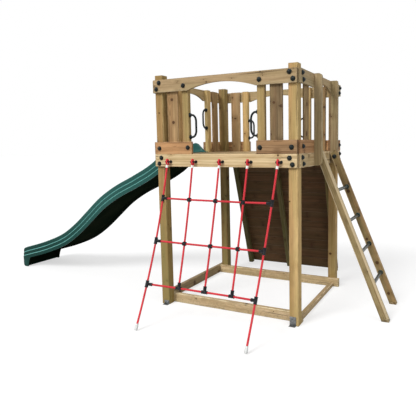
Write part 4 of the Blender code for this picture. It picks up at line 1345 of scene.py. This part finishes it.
@dataclass
class MouldedSlide:
    """Wavy slide with ribbed side walls, rolled rims and a downturned end."""

    run: tuple[tuple[float, float], ...] = (
        (-0.040, 1.5070), (0.040, 1.5065), (0.120, 1.490), (0.200, 1.425), (0.270, 1.345),
        (0.400, 1.256), (0.617, 1.146), (0.924, 1.003), (1.138, 0.872), (1.345, 0.704),
        (1.536, 0.549), (1.771, 0.396), (2.103, 0.262), (2.575, 0.126),
    )
    wall: float = 0.006
    flange: float = 0.118
    skirt: float = 0.029
    rim_start: float = -0.030
    rim_length: float = 0.140
    skirt_start: float = 0.035
    skirt_length: float = 0.100
    neck: float = 0.935
    neck_length: float = 0.070
    stations: int = 118
    end: float = 2.5865
    level_end: float = 0.130
    end_round: float = 0.020
    apron_half: float = 0.2505
    apron_top: float = 0.200
    apron_foot: float = 0.088
    apron_round: float = 0.034

    def height(self, reach: float) -> tuple[float, float]:
        """Height and slope of the bed.

        Args:
            reach: distance beyond the tower's left face.

        Returns:
            Height above the ground, and slope.
        """
        run = self.run
        slopes = [(b[1] - a[1]) / (b[0] - a[0]) for a, b in zip(run, run[1:])]
        tangents = [slopes[0], *[(a + b) / 2 for a, b in zip(slopes, slopes[1:])], slopes[-1]]
        index = max(i for i in range(len(run) - 1) if run[i][0] <= reach or i == 0)
        (x0, z0), (x1, z1) = run[index], run[index + 1]
        width = x1 - x0
        t = (reach - x0) / width
        m0, m1 = tangents[index] * width, tangents[index + 1] * width
        square, cube = 3 * (z1 - z0) - 2 * m0 - m1, 2 * (z0 - z1) + m0 + m1
        height = z0 + t * (m0 + t * (square + t * cube))
        return height, (m0 + t * (2 * square + 3 * t * cube)) / width

    @staticmethod
    def ease(value: float) -> float:
        """Smooth step from 0 to 1."""
        value = min(max(value, 0.0), 1.0)
        return value * value * (3 - 2 * value)

    def section(self) -> list[tuple[float, float, str, float]]:
        """Half section from the bed's middle over the rim and back underneath.

        Returns:
            Half width, height above the bed, kind and painted ledge highlight of each point.
        """
        top = [(0.0, 0.0), (0.06, 0.0), (0.12, 0.0), (0.160, 0.0), (0.176, 0.0010),
               (0.188, 0.0050), (0.197, 0.0125), (0.2030, 0.0230), (0.2075, 0.0380),
               (0.2110, 0.0650), (0.2140, 0.1010), (0.2155, 0.1090), (0.2185, 0.1145),
               (0.2230, 0.1175), (0.2300, 0.1180)]
        # The last number of each rib point is the painted highlight: pale lines along the ledges
        # where they catch the light.
        ribs = [(0.2355, 0.1165, 0.30), (0.2390, 0.1130, 0.10), (0.2402, 0.1080, 0.0),
                (0.2403, 0.0720, 0.0), (0.2405, 0.0680, 0.1), (0.2412, 0.0655, 1.0),
                (0.2440, 0.0630, 1.0), (0.2454, 0.0605, 0.1), (0.24545, 0.0565, 0.0),
                (0.2456, 0.0240, 0.0), (0.2457, 0.0200, 0.1), (0.2464, 0.0175, 1.0),
                (0.2494, 0.0150, 1.0), (0.2508, 0.0125, 0.1), (0.2509, 0.0090, 0.0)]
        under = [(0.2448, 0.0080), (0.2400, 0.0130), (0.2396, 0.0540), (0.2345, 0.0600),
                 (0.2340, 0.1060), (0.2320, 0.1110), (0.2270, 0.1120), (0.2210, 0.1080),
                 (0.2190, 0.0980), (0.2140, 0.0400), (0.2020, 0.0070), (0.1900, -0.0030),
                 (0.1780, -0.0058), (0.1200, -0.0060), (0.0600, -0.0060), (0.0, -0.0060)]
        points = [(y, n, "top", 0.0) for y, n in top]
        points += [(y, n, "top", wear) for y, n, wear in ribs]
        points += [(0.2510, 0.0030, "top", 0.0), (0.2510, 0.0, "skirt", 0.0),
                   (0.2450, 0.0, "skirt", 0.0)]
        return points + [(y, n, "under", 0.0) for y, n in under]

    def shape(self, reach: float, points: Sequence[tuple[float, float, str, float]]
              ) -> list[Vector]:
        """Place one cross-section of the slide.

        Args:
            reach: distance beyond the tower's left face.
            points: the section, as (width, height, kind, wear).

        Returns:
            One point for each point of the section.
        """
        height, slope = self.height(reach)
        lean = math.atan(slope) * self.ease((self.end - reach) / self.level_end)
        turn = max(0.0, 1.0 - (self.end - reach) / self.end_round)
        lost = self.end_round * (1.0 - math.sqrt(max(0.0, 1.0 - turn * turn)))
        rim = self.ease((reach - self.rim_start) / self.rim_length) * (1.0 - lost / self.flange)
        drop = self.ease((reach - self.skirt_start) / self.skirt_length)
        neck = self.neck + (1 - self.neck) * self.ease((reach - self.skirt_start)
                                                       / self.neck_length)
        bottom = -self.skirt * drop - self.wall * (1 - drop)
        placed = []
        for y, n, kind, _ in points:
            if kind == "top":
                offset = n * rim
            elif kind == "under":
                offset = n * rim - self.wall * (1 - rim) if n > -self.wall + 1e-5 else n
            else:
                offset = bottom
            placed.append(Vector((-HALF_WIDTH - reach + offset * math.sin(lean), y * neck,
                                  height + offset * math.cos(lean))))
        return placed

    def make(self) -> None:
        """Build the shell and the downturned end."""
        half = self.section()
        ring = half + [(-y, n, kind, wear) for y, n, kind, wear in reversed(half[1:-1])]
        start, end = self.run[0][0], self.end - self.end_round
        reaches = [start + (end - start) * i / self.stations for i in range(self.stations)]
        reaches += [self.end - self.end_round * share for share in
                    (1.0, 0.75, 0.52, 0.32, 0.17, 0.06, 0.0)]
        rows = [self.shape(reach, ring) for reach in reaches]
        bm = bmesh.new()
        # The ridge layer carries the painted highlight along the ledges.
        ridge_light = bm.verts.layers.float.new("ridge")

        def place(vert: BMVert, row: int, column: int) -> Vector:
            """Place of a vertex, which also takes its painted ledge highlight."""
            vert[ridge_light] = ring[column][3]
            return rows[row][column]

        def skin(column: int) -> int:
            """1 on the underside, which takes the dark painted-shade skin, and 0 on the side that
            shows.
            """
            return int("under" in (ring[column][2], ring[(column + 1) % len(ring)][2]))

        rolled_grid(bm, len(reaches), len(ring), place, skin)
        SLIDE_SKIN.piece("slide_shell", bm, ["slide"], sharp=50.0, inner=SLIDE_SHADED_UNDERSIDE)
        self.make_apron()

    def corner(self, front: float, radius: float) -> list[tuple[float, float]]:
        """Quarter turn of the apron's lower front corner, from the ground up to the front."""
        turns = [math.radians(angle) for angle in range(0, 91, 15)]
        return [(front + self.apron_round - radius * math.sin(turn),
                 self.apron_round - radius * math.cos(turn)) for turn in turns]

    def side_outline(self, front: float) -> list[tuple[float, float]]:
        """Outline of the apron's side wall, with its hollow back edge.

        Args:
            front: X of the front face.

        Returns:
            Points along X and up, starting under the bed at the exit.
        """
        steps, inset = 8, 0.003
        outline = []
        for step in range(steps + 1):
            reach = self.end - self.apron_top * step / steps
            outline.append((-HALF_WIDTH - reach, self.height(reach)[0] - inset))
        (x0, z0), (x2, z2) = outline[-1], (front + self.apron_foot, 0.012)
        x1, z1 = x2 + 0.028, z0 - 0.018
        for step in range(1, steps + 1):
            t = step / steps
            outline.append(((1 - t) ** 2 * x0 + 2 * t * (1 - t) * x1 + t * t * x2,
                            (1 - t) ** 2 * z0 + 2 * t * (1 - t) * z1 + t * t * z2))
        return outline + [(x2 - 0.004, 0.004), (x2 - 0.012, 0.0),
                          *self.corner(front, self.apron_round)]

    def add_end_plate(self, bm: BMesh, front: float) -> None:
        """Add the plate that closes the section at the exit, down to the rounded corner.

        Args:
            bm: mesh to add to.
            front: X of its front face.
        """
        shown = [point for point in self.section() if point[2] != "under"][:-1]
        rim = [(place.y, place.z) for place in self.shape(self.end, shown)]
        rim += [(self.apron_half, rim[-1][1]), (self.apron_half, self.apron_round)]
        rim += [(-y, z) for y, z in reversed(rim[1:])]
        plate(bm, [(front, y, z) for y, z in rim], (self.wall, 0.0, 0.0))

    def make_apron(self) -> None:
        """Build the end wall and the two side walls that reach the ground."""
        front = -HALF_WIDTH - self.end - 0.0005
        half, wall, curve = self.apron_half, self.wall, self.apron_round
        bm = bmesh.new()
        bm.verts.layers.float.new("ridge")
        outline = self.side_outline(front)
        for sign in (-1, 1):
            plate(bm, [(x, sign * half, z) for x, z in outline], (0.0, -sign * wall, 0.0))
        toe = front + curve + 0.010
        lip = [*reversed(self.corner(front, curve)), (toe, 0.0), (toe, wall),
               *self.corner(front, curve - wall)]
        plate(bm, [(x, -half, z) for x, z in lip], (0.0, 2 * half, 0.0))
        self.add_end_plate(bm, front)
        bmesh.ops.recalc_face_normals(bm, faces=bm.faces)
        # Back faces and the side walls' inner faces take the dark underside skin, as painted shade.
        for face in bm.faces:
            middle = face.calc_center_median()
            inward = face.normal.y * middle.y < -0.5 * abs(middle.y)
            beside = abs(middle.y) > half / 2 and middle.x > front + wall
            if face.normal.x > 0.5 or (inward and beside):
                face.material_index = 1
        SLIDE_SKIN.piece("slide_apron", bm, ["slide"], inner=SLIDE_SHADED_UNDERSIDE)


# Ladder


@dataclass
class RungLadder:
    """The four moulded rungs between the ladder's rails."""

    heights: tuple[float, ...] = (0.31, 0.59, 0.87, 1.15)
    radius: float = 0.016
    flange: float = 0.0235
    flange_thick: float = 0.006
    half_length: float = 0.2194
    grips: int = 26
    grip_depth: float = 0.0007
    top: float = 1.494
    standoff: float = 0.026
    rail_half: float = 0.035

    def middle(self, height: float) -> Vector:
        """Middle of a rung at a height."""
        run = (self.top - height) * math.tan(LADDER_LEAN) + self.rail_half / math.cos(LADDER_LEAN)
        return Vector((HALF_WIDTH + self.standoff + run, 0.0, height))

    def profile(self) -> list[tuple[float, float]]:
        """Profile of a rung: a grooved tube with a flange against each rail.

        Returns:
            Radius and place along the rung of each point.
        """
        start, thick, wide = -self.half_length, self.flange_thick, self.flange
        collar = [(0.0, start), (wide * 0.96, start), (wide, start + 0.001),
                  (wide, start + thick - 0.001), (wide * 0.95, start + thick),
                  (self.radius + 0.0015, start + thick + 0.001),
                  (self.radius, start + thick + 0.006)]
        span = self.half_length - thick - 0.016
        grooves = []
        for step in range(self.grips + 1):
            z = -span + 2 * span * step / self.grips
            grooves += [(self.radius, z - 0.003), (self.radius - self.grip_depth, z)]
        return collar + grooves + [(r, -z) for r, z in reversed(collar)]

    def make(self) -> None:
        """Build each rung."""
        for number, height in enumerate(self.heights, start=1):
            bm = bmesh.new()
            turned(bm, self.profile(), frame_along(Vector((0, 1, 0)), self.middle(height)), 28)
            RUNG_SKIN.piece(f"rung_grip_{number}", bm, [f"rung_{number}"])


# Climbing wall


@dataclass
class ClimbingWall:
    """Boards across the leaning bearers, their screws and the moulded holds."""

    foot: float = 1.100
    bearer_run: float = 0.0678
    thick: float = 0.022
    boards: int = 12
    board_edge: float = 0.0032
    half_width: float = 0.600
    foot_gap: float = 0.020
    top_gap: float = 0.004
    bearers: tuple[float, ...] = (-0.5775, -0.030, 0.5775)
    screw_share: float = 0.28
    hold_rows: int = 5
    hold_first: float = 1.5
    hold_pitch: float = 2.2
    hold_side: float = 0.17
    hold_stagger: float = 0.13
    hold_radius: float = 0.055
    hold_height: float = 0.042
    BOLT: ClassVar = ((0.0, -0.006), (0.0035, -0.006), (0.0042, 0.0006), (0.0080, 0.0012),
                      (0.0085, 0.0), (0.0085, -0.010))

    def __post_init__(self) -> None:
        """Work out the directions up the wall and out of it."""
        self.up = Vector((0.0, -WALL_SLOPE, 1.0)).normalized()
        self.out = Vector((0.0, 1.0, WALL_SLOPE)).normalized()
        self.start = (Vector((0.0, self.foot + self.bearer_run, 0.0)) + self.out * TOUCH
                      + self.up * self.foot_gap)
        run = (DECK_HEIGHT - self.top_gap) / self.up.z - self.foot_gap
        self.pitch = run / self.boards

    def make(self) -> None:
        """Build the boards, the screws and the holds."""
        layout = BoardLayout("wall_boards", WALLING, edge=self.board_edge)
        along = Vector((1, 0, 0))
        turn = Matrix((along, self.up, along.cross(self.up))).transposed().to_4x4()
        for number in range(self.boards):
            middle = self.start + self.up * self.pitch * (number + 0.5) + self.out * self.thick / 2
            layout.add(Matrix.Translation(middle) @ turn,
                       Vector((2 * self.half_width, self.pitch, self.thick)))
        layout.make(["climbing_panel"])
        bm = bmesh.new()
        for number in range(self.boards):
            for x in self.bearers:
                for side in (-1, 1):
                    rise = self.pitch * (number + 0.5 + self.screw_share * side)
                    point = self.start + self.up * rise + self.out * (self.thick + PROUD)
                    Screw.add(bm, point + Vector((x, 0, 0)), self.out)
        STEEL.piece("wall_screws", bm)
        self.make_holds()

    def make_holds(self) -> None:
        """Build the moulded climbing holds in two staggered columns, each with its bolt."""
        bolts = bmesh.new()
        for row in range(self.hold_rows):
            for side in (-1, 1):
                right = side > 0
                across = side * (self.hold_side + self.hold_stagger * ((row + right) % 2))
                along = self.pitch * (self.hold_first + self.hold_pitch * row)
                middle = (self.start + self.up * along + self.out * self.thick
                          + Vector((across, 0.0, 0.0)))
                colour = HOLD_COLOURS[(3 * row + right) % len(HOLD_COLOURS)]
                self.make_hold(2 * row + right + 1, middle, colour, 0.6 * row + side)
                tip = middle + self.up * 0.012 + self.out * (self.hold_height * 0.86)
                turned(bolts, self.BOLT, frame_along(self.out, tip), 12)
        STEEL.piece("hold_bolts", bolts)

    def make_hold(self, number: int, middle: Vector, colour: Colour, turn: float) -> None:
        """Build one hold: a rounded, ridged dome that droops into a lip.

        Args:
            number: its number.
            middle: point on the boards under its middle.
            colour: colour of the moulding.
            turn: what sets its outline.
        """
        bm = bmesh.new()
        verts = bmesh.ops.create_uvsphere(bm, u_segments=36, v_segments=20, radius=1.0)["verts"]
        across, droop, sunk = self.up.cross(self.out), 0.26, -0.12
        for vert in verts:
            x, y, z = vert.co
            angle = math.atan2(y, x)
            swell = 1 + 0.14 * math.sin(2 * angle + turn) + 0.03 * math.sin(5 * angle - turn)
            ridge = 0.035 * math.sin(9 * z + 2 * math.sin(3 * angle + turn)) * (1 - z * z)
            radius = self.hold_radius * swell * (1.0 + 0.04 * min(z, 0.0))
            vert.co = (middle + across * x * radius
                       + self.up * ((1 - droop) * y * radius
                                    + droop * self.hold_radius * max(z, 0.0))
                       + self.out * self.hold_height * (0.96 * max(z, sunk) + ridge))
        scuff = tuple(0.45 * c + 0.35 for c in colour)
        skin = PlasticFinish(f"hold_skin_{number}", "slide_plastic", colour, scuff, scuffs=0.25,
                             gloss=0.52, stipple=2.2)
        skin.piece(f"climbing_hold_{number}", bm, ["climbing_panel"])


# Rope net


@dataclass
class RopeNet:
    """Five upright and three level ropes with moulded joints, hung by eyes on hooks."""

    columns: int = 5
    pitch: float = 0.283
    taper: float = 0.0305
    taper_ease: float = 0.0115
    hinge_depth: float = -0.712
    hinge_height: float = 1.430
    outer_lean: tuple[float, float] = (0.285, 0.088)
    inner_lean: tuple[float, float] = (0.225, 0.045)
    outer_rows: tuple[float, ...] = (1.095, 0.720, 0.362)
    inner_rows: tuple[float, ...] = (1.088, 0.702, 0.325)
    rope_radius: float = 0.0092
    eye_radius: float = 0.0080
    spacing: float = 0.0065
    eye_drop: float = 0.028
    foot_height: float = 0.030
    strands: int = 6
    lay: float = 0.105
    eye: tuple[float, float] = (0.016, 0.026)
    sleeve_radius: float = 0.0148
    collar_height: float = 1.386
    collar_half: float = 0.012
    collar_radius: float = 0.0118
    tip_height: float = 0.0312
    tip_length: float = 0.055
    tip_radius: float = 0.0140
    long_joint: float = 0.060
    short_joint: float = 0.036
    foot_shift: float = 0.020
    edge_reach: float = 0.048
    foot_reach: float = 0.028
    inner_reach: float = 0.019
    hook_side: float = 0.018
    hook_radius: float = 0.0057
    hook_tip: float = 0.0040
    hook_bend: float = 0.008
    RIVET: ClassVar = ((0.0, 0.0), (0.0065, 0.0), (0.0065, 0.0150), (0.0058, 0.0162), (0.0, 0.0168))
    NUT: ClassVar = ((0.0, -0.001), (0.0150, -0.001), (0.0150, 0.0022), (0.0140, 0.0030),
                     (0.0092, 0.0032), (0.0092, 0.0110), (0.0080, 0.0125), (0.0060, 0.0125))
    END_NUT: ClassVar = ((0.0055, 0.0), (0.0090, 0.0), (0.0098, 0.0014), (0.0098, 0.0082),
                         (0.0088, 0.0096), (0.0, 0.0096))

    def outer(self, index: int) -> bool:
        """Whether an upright rope is the first or the last."""
        return index in (0, self.columns - 1)

    def point(self, index: int, height: float) -> Vector:
        """Point on the middle of an upright rope.

        Args:
            index: number of the rope, from the left.
            height: height above the ground.

        Returns:
            The point, from the tower's middle.
        """
        below = self.hinge_height - height
        share = below / self.hinge_height
        pitch = self.pitch - self.taper * share + self.taper_ease * share ** 2
        lean, flare = self.outer_lean if self.outer(index) else self.inner_lean
        return Vector(((index - (self.columns - 1) / 2) * pitch,
                       self.hinge_depth - lean * below - flare * below ** 2, height))

    def rope(self, bm: BMesh, path: Sequence[Vector], radius: float, facets: int = 4) -> None:
        """Add one laid rope: a tube of twisted lobes.

        Args:
            bm: mesh to add to.
            path: points along its middle.
            radius: radius over the lobes.
            facets: faces round each strand.
        """
        depth = bm.verts.layers.float.get("groove") or bm.verts.layers.float.new("groove")
        half = self.strands / 2

        def ring(_: int, angle: float) -> float:
            """Radius of the rope at an angle."""
            return radius * (0.84 + 0.16 * abs(math.cos(half * angle)) ** 0.6)

        def mark(vert: BMVert, angle: float) -> None:
            """Keep how deep between the lobes a vertex lies, which sets the painted shade."""
            vert[depth] = (1.0 - abs(math.cos(half * angle))) ** 2

        swept(bm, path, ring, self.strands * facets, math.tau / self.lay, mark)

    def sleeve(self, bm: BMesh, start: Vector, end: Vector, radius: float,
               lip: float = 0.10) -> None:
        """Add a moulded sleeve with a lip at each end.

        Args:
            bm: mesh to add to.
            start: one end of its axis.
            end: other end of its axis.
            radius: its radius.
            lip: how far the lips stand out, as a share of the radius.
        """
        length = (end - start).length
        wide = radius * (1 + lip)
        profile = [(self.rope_radius * 0.8, 0.0), (wide * 0.93, 0.0), (wide, 0.0012),
                   (wide, 0.0045), (wide * 0.97, 0.0058), (radius, 0.0072)]
        profile += [(r, length - z) for r, z in reversed(profile)]
        turned(bm, profile, frame_along(end - start, start), sides=24)

    def make(self) -> None:
        """Build the ropes, the joints, the caps and the hooks."""
        ropes, joints, whites, tips = (bmesh.new() for _ in range(4))
        top = self.hinge_height - self.eye_drop
        for index in range(self.columns):
            foot, count = (self.foot_height, 9) if self.outer(index) else (self.inner_rows[-1], 6)
            path = [self.point(index, top + (foot - top) * i / count) for i in range(count + 1)]
            self.rope(ropes, resampled(path, self.spacing), self.rope_radius)
            self.add_eye(ropes, index)
            self.add_collar(whites, index)
            if self.outer(index):
                self.add_tip(tips, index)
        for row in range(len(self.outer_rows)):
            self.add_row(ropes, joints, row)
        ROPE.piece("net_ropes", ropes, ["cargo_net"], Body.NET, sharp=70.0)
        JOINT_SKIN.piece("net_joints", joints, ["cargo_net"], Body.NET)
        WHITE_SKIN.piece("net_ferrules", whites, ["cargo_net"], Body.NET)
        TIP_SKIN.piece("net_end_caps", tips, ["cargo_net"], Body.NET)
        self.make_hooks()

    def add_eye(self, bm: BMesh, index: int) -> None:
        """Add the rope's spliced eye round its hook, drawn in below to meet the rope.

        Args:
            bm: mesh of the ropes.
            index: number of the rope.
        """
        middle = self.point(index, self.hinge_height)
        low = middle + Vector((0.0, -0.001, -0.037))
        wide, high, steps = *self.eye, 44
        path = [low + Vector((0.0, 0.002, 0.0))]
        for step in range(steps + 1):
            angle = math.radians(-90 + 16 + 328 * step / steps)
            path.append(middle + Vector((0.0, wide * math.cos(angle),
                                         high * math.sin(angle) - 0.004)))
        path.append(low - Vector((0.0, 0.002, 0.0)))
        self.rope(bm, path, self.eye_radius, facets=3)

    def add_collar(self, bm: BMesh, index: int) -> None:
        """Add the white ferrule under a rope's eye."""
        ends = (self.collar_height - self.collar_half, self.collar_height + self.collar_half)
        self.sleeve(bm, *(self.point(index, end) for end in ends), self.collar_radius, lip=0.06)

    def add_tip(self, bm: BMesh, index: int) -> None:
        """Add the white end cap of an outer rope, rounded at its foot.

        Args:
            bm: mesh of the caps.
            index: number of the rope.
        """
        low = self.point(index, self.tip_height)
        along = (self.point(index, self.tip_height + 0.01) - low).normalized()
        start = low - along * self.tip_length / 2
        r, length = self.tip_radius, self.tip_length
        profile = [(0.0, 0.0), (r * 0.72, 0.0), (r * 0.92, 0.0018), (r, 0.0055), (r, 0.034),
                   (r * 0.95, 0.0365), (r * 0.84, 0.0385), (r * 0.82, length - 0.004),
                   (r * 0.74, length), (self.rope_radius * 0.8, length)]
        turned(bm, profile, frame_along(along, start), sides=28)

    def add_row(self, ropes: BMesh, joints: BMesh, row: int) -> None:
        """Add one level rope and the joints along it.

        Args:
            ropes: mesh of the ropes.
            joints: mesh of the joints.
            row: number of the row, from the top.
        """
        last_row = row == len(self.outer_rows) - 1
        heights = [self.outer_rows[row] if self.outer(i) else self.inner_rows[row]
                   for i in range(self.columns)]
        points = [self.point(i, height) for i, height in enumerate(heights)]
        for a, b in zip(points, points[1:]):
            self.rope(ropes, resampled([a, (a + b) / 2, b], self.spacing), self.rope_radius)
        for index, point in enumerate(points):
            outer = self.outer(index)
            at_foot = last_row and not outer
            along = (self.point(index, heights[index] + 0.01)
                     - self.point(index, heights[index] - 0.01)).normalized()
            size = self.long_joint if outer or at_foot else self.short_joint
            middle = point + along * (self.foot_shift if at_foot else 0.0)
            self.sleeve(joints, middle - along * size / 2, middle + along * size / 2,
                        self.sleeve_radius)
            reach = self.edge_reach if outer else (self.foot_reach if at_foot else self.inner_reach)
            for other in (index - 1, index + 1):
                if 0 <= other < self.columns:
                    step = (points[other] - point).normalized()
                    self.sleeve(joints, point, point + step * reach, self.sleeve_radius * 0.93)
            for sign in (-1, 1):
                turned(joints, self.RIVET, frame_along(Vector((0, sign, 0.15 * sign)), point), 16)

    def make_hooks(self) -> None:
        """Build the bent steel hooks over the CAD rods, each with a black washer and nut."""
        steel, blacks = bmesh.new(), bmesh.new()
        end = 2 * self.hook_side
        for index in range(self.columns):
            x = self.point(index, self.hinge_height).x + self.hook_side
            corner = Vector((x, self.hinge_depth, self.hinge_height))
            path = [corner + Vector((0.0, y, 0.0)) for y in (0.0325, 0.020)]
            for step in range(7):
                angle = math.radians(90 * step / 6)
                path.append(corner + Vector((math.cos(angle) - 1, 1 - math.sin(angle), 0))
                            * self.hook_bend)
            path += [corner - Vector((run, 0, 0)) for run in (0.020, end, end + 0.0008)]
            swept(steel, path, lambda number, _, last=len(path) - 1: self.hook_tip
                  if number == last else self.hook_radius, 14)
            turned(blacks, self.NUT, frame_along(Vector((0, -1, 0)),
                                                 Vector((x, -FACE_Y, self.hinge_height))), 18)
            turned(blacks, self.END_NUT, frame_along(
                Vector((-1, 0, 0)), corner - Vector((end - 0.0065, 0, 0))), 18)
        BLACK_STEEL.piece("net_hooks", steel)
        CAP_SKIN.piece("hook_nuts", blacks)


# Handles


@dataclass
class GrabHandles:
    """D-shaped grab handles with round bases."""

    span: float = 0.205
    reach: float = 0.068
    bend: float = 0.044
    rise: float = 0.060
    radius: float = 0.0095
    base_radius: float = 0.0210
    entrance: tuple[float, float, float] = (0.3517, 0.6325, 1.762)
    slide: tuple[float, float, float] = (0.7025, 0.2377, 1.880)

    def places(self) -> list[tuple[str, Vector, Vector]]:
        """Node name, middle of the mounting face and outward direction of each handle.

        Returns:
            One entry for each handle.
        """
        found = []
        for end, sy in (("front", -1), ("back", 1)):
            x, y, z = self.entrance
            for side, sx in (("left", -1), ("right", 1)):
                found.append((f"handle_{end}_{side}", Vector((sx * x, sy * y, z)),
                              Vector((-sx, 0, 0))))
            x, y, z = self.slide
            found.append((f"handle_slide_{end}", Vector((-x, sy * y, z)), Vector((0, -sy, 0))))
        return found

    def add(self, bm: BMesh, place: Vector, out: Vector) -> None:
        """Add one handle.

        Args:
            bm: mesh to add to.
            place: middle of the mounting face.
            out: direction that it stands out in.
        """
        half = self.span / 2
        upper = [(0.010, half), (0.020, half)]
        for step in range(9):
            angle = math.radians(90 - 90 * step / 8)
            upper.append((self.reach - self.bend + self.bend * math.cos(angle),
                          half - self.rise + self.rise * math.sin(angle)))
        chain = upper + [(x, -z) for x, z in reversed(upper)]
        path = resampled([place + out * x + Vector((0, 0, z)) for x, z in chain], 0.006)
        swept(bm, path, lambda _, angle: self.radius * (1 + 0.02 * math.cos(2 * angle)), 20)
        base, tube = self.base_radius, self.radius
        profile = ((0.0, 0.0), (base * 0.96, 0.0), (base, 0.0012), (base, 0.0070),
                   (base * 0.95, 0.0095), (base * 0.80, 0.0112), (tube * 1.35, 0.0135),
                   (tube * 1.10, 0.0175), (tube, 0.0230), (tube * 0.6, 0.0235))
        for sign in (-1, 1):
            turned(bm, profile, frame_along(out, place + Vector((0, 0, sign * half))), 28)

    def make(self) -> None:
        """Build all six handles."""
        for name, place, out in self.places():
            bm = bmesh.new()
            self.add(bm, place, out)
            HANDLE_SKIN.piece(f"{name}_grip", bm, [name])


# Studio


@dataclass
class Studio:
    """Pale floor, soft light and the camera of the photograph, solved in its pixels."""

    camera_place: Vector = field(default_factory=lambda: Vector((1.966, -4.148, 1.587)))
    yaw: float = math.radians(25.541)
    pitch: float = math.radians(5.797)
    roll: float = math.radians(-0.792)
    photo_side: float = 416.0
    focal: float = 440.18
    photo_middle: tuple[float, float] = (252.24, 188.73)
    sensor: float = 36.0
    floor_size: float = 60.0
    floor_grey: float = 0.44
    floor_glow: float = 0.60
    sky_light: float = 0.42

    def make(self) -> None:
        """Build the floor, the lamps, the world and the camera."""
        self.make_floor()
        self.make_world()
        self.make_lamps()
        self.make_camera()
        bpy.context.scene.view_settings.view_transform = "Standard"

    def make_floor(self) -> None:
        """Lay a wide pale floor that keeps the shadow of the tower."""
        bm = bmesh.new()
        bmesh.ops.create_grid(bm, x_segments=1, y_segments=1, size=self.floor_size)
        bmesh.ops.translate(bm, vec=(0.0, 0.0, -0.001), verts=bm.verts)
        mesh = bpy.data.meshes.new("floor")
        bm.to_mesh(mesh)
        bm.free()
        floor = bpy.data.objects.new("floor", mesh)
        bpy.context.scene.collection.objects.link(floor)
        material, graph, shader = new_material("floor_pale")
        shader.inputs["Base Color"].default_value = (*[self.floor_grey] * 3, 1.0)
        shader.inputs["Roughness"].default_value = 1.0
        shader.inputs["Specular IOR Level"].default_value = 0.0
        shader.inputs["Emission Color"].default_value = (1.0, 1.0, 1.0, 1.0)
        graph.feed(shader.inputs["Emission Strength"], graph.times(graph.seen(), self.floor_glow))
        mesh.materials.append(material)

    def make_world(self) -> None:
        """Light the scene evenly and show plain white behind it."""
        world = bpy.data.worlds.new("studio")
        bpy.context.scene.world = world
        world.use_nodes = True
        graph = Graph(world.node_tree)
        world.node_tree.nodes.clear()
        strength = graph.scaled(graph.seen(), 1.0 - self.sky_light, self.sky_light)
        sky = graph.node("ShaderNodeBackground", {"Color": (1.0, 1.0, 1.0, 1.0),
                                                  "Strength": strength})
        out = graph.node("ShaderNodeOutputWorld")
        graph.tree.links.new(sky.outputs[0], out.inputs[0])

    def make_lamps(self) -> None:
        """Add a soft key sun from the front left and a broader, weaker one from the right."""
        for name, energy, angle, turn in (
            ("sun_key", 2.5, 24.0, (50.0, 0.0, -20.0)),
            ("sun_side", 1.0, 50.0, (60.0, 0.0, 62.0)),
        ):
            data = bpy.data.lights.new(name, "SUN")
            data.energy = energy
            data.angle = math.radians(angle)
            lamp = bpy.data.objects.new(name, data)
            lamp.rotation_euler = [math.radians(a) for a in turn]
            bpy.context.scene.collection.objects.link(lamp)

    def make_camera(self) -> None:
        """Place the camera where the photograph was taken from."""
        forward = Vector((-math.sin(self.yaw) * math.cos(self.pitch),
                          math.cos(self.yaw) * math.cos(self.pitch), -math.sin(self.pitch)))
        right = forward.cross(Vector((0, 0, 1))).normalized()
        up = right.cross(forward)
        right, up = (right * math.cos(self.roll) + up * math.sin(self.roll),
                     up * math.cos(self.roll) - right * math.sin(self.roll))
        data = bpy.data.cameras.new("camera")
        data.sensor_width = self.sensor
        data.lens = self.sensor * self.focal / self.photo_side
        data.shift_x = -(self.photo_middle[0] - self.photo_side / 2) / self.photo_side
        data.shift_y = (self.photo_middle[1] - self.photo_side / 2) / self.photo_side
        camera = bpy.data.objects.new("camera", data)
        turn = Matrix((right, up, -forward)).transposed().to_4x4()
        camera.matrix_world = Matrix.Translation(self.camera_place + MIDDLE) @ turn
        bpy.context.scene.collection.objects.link(camera)
        bpy.context.scene.camera = camera


def main() -> None:
    """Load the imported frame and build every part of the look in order."""
    logging.basicConfig(level=logging.INFO, format="%(message)s")
    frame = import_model()
    Studio().make()
    TimberFrame().dress(frame["nodes"])
    Deck().make()
    Fixings().make()
    MouldedSlide().make()
    RungLadder().make()
    ClimbingWall().make()
    RopeNet().make()
    GrabHandles().make()


if __name__ == "__main__":
    main()
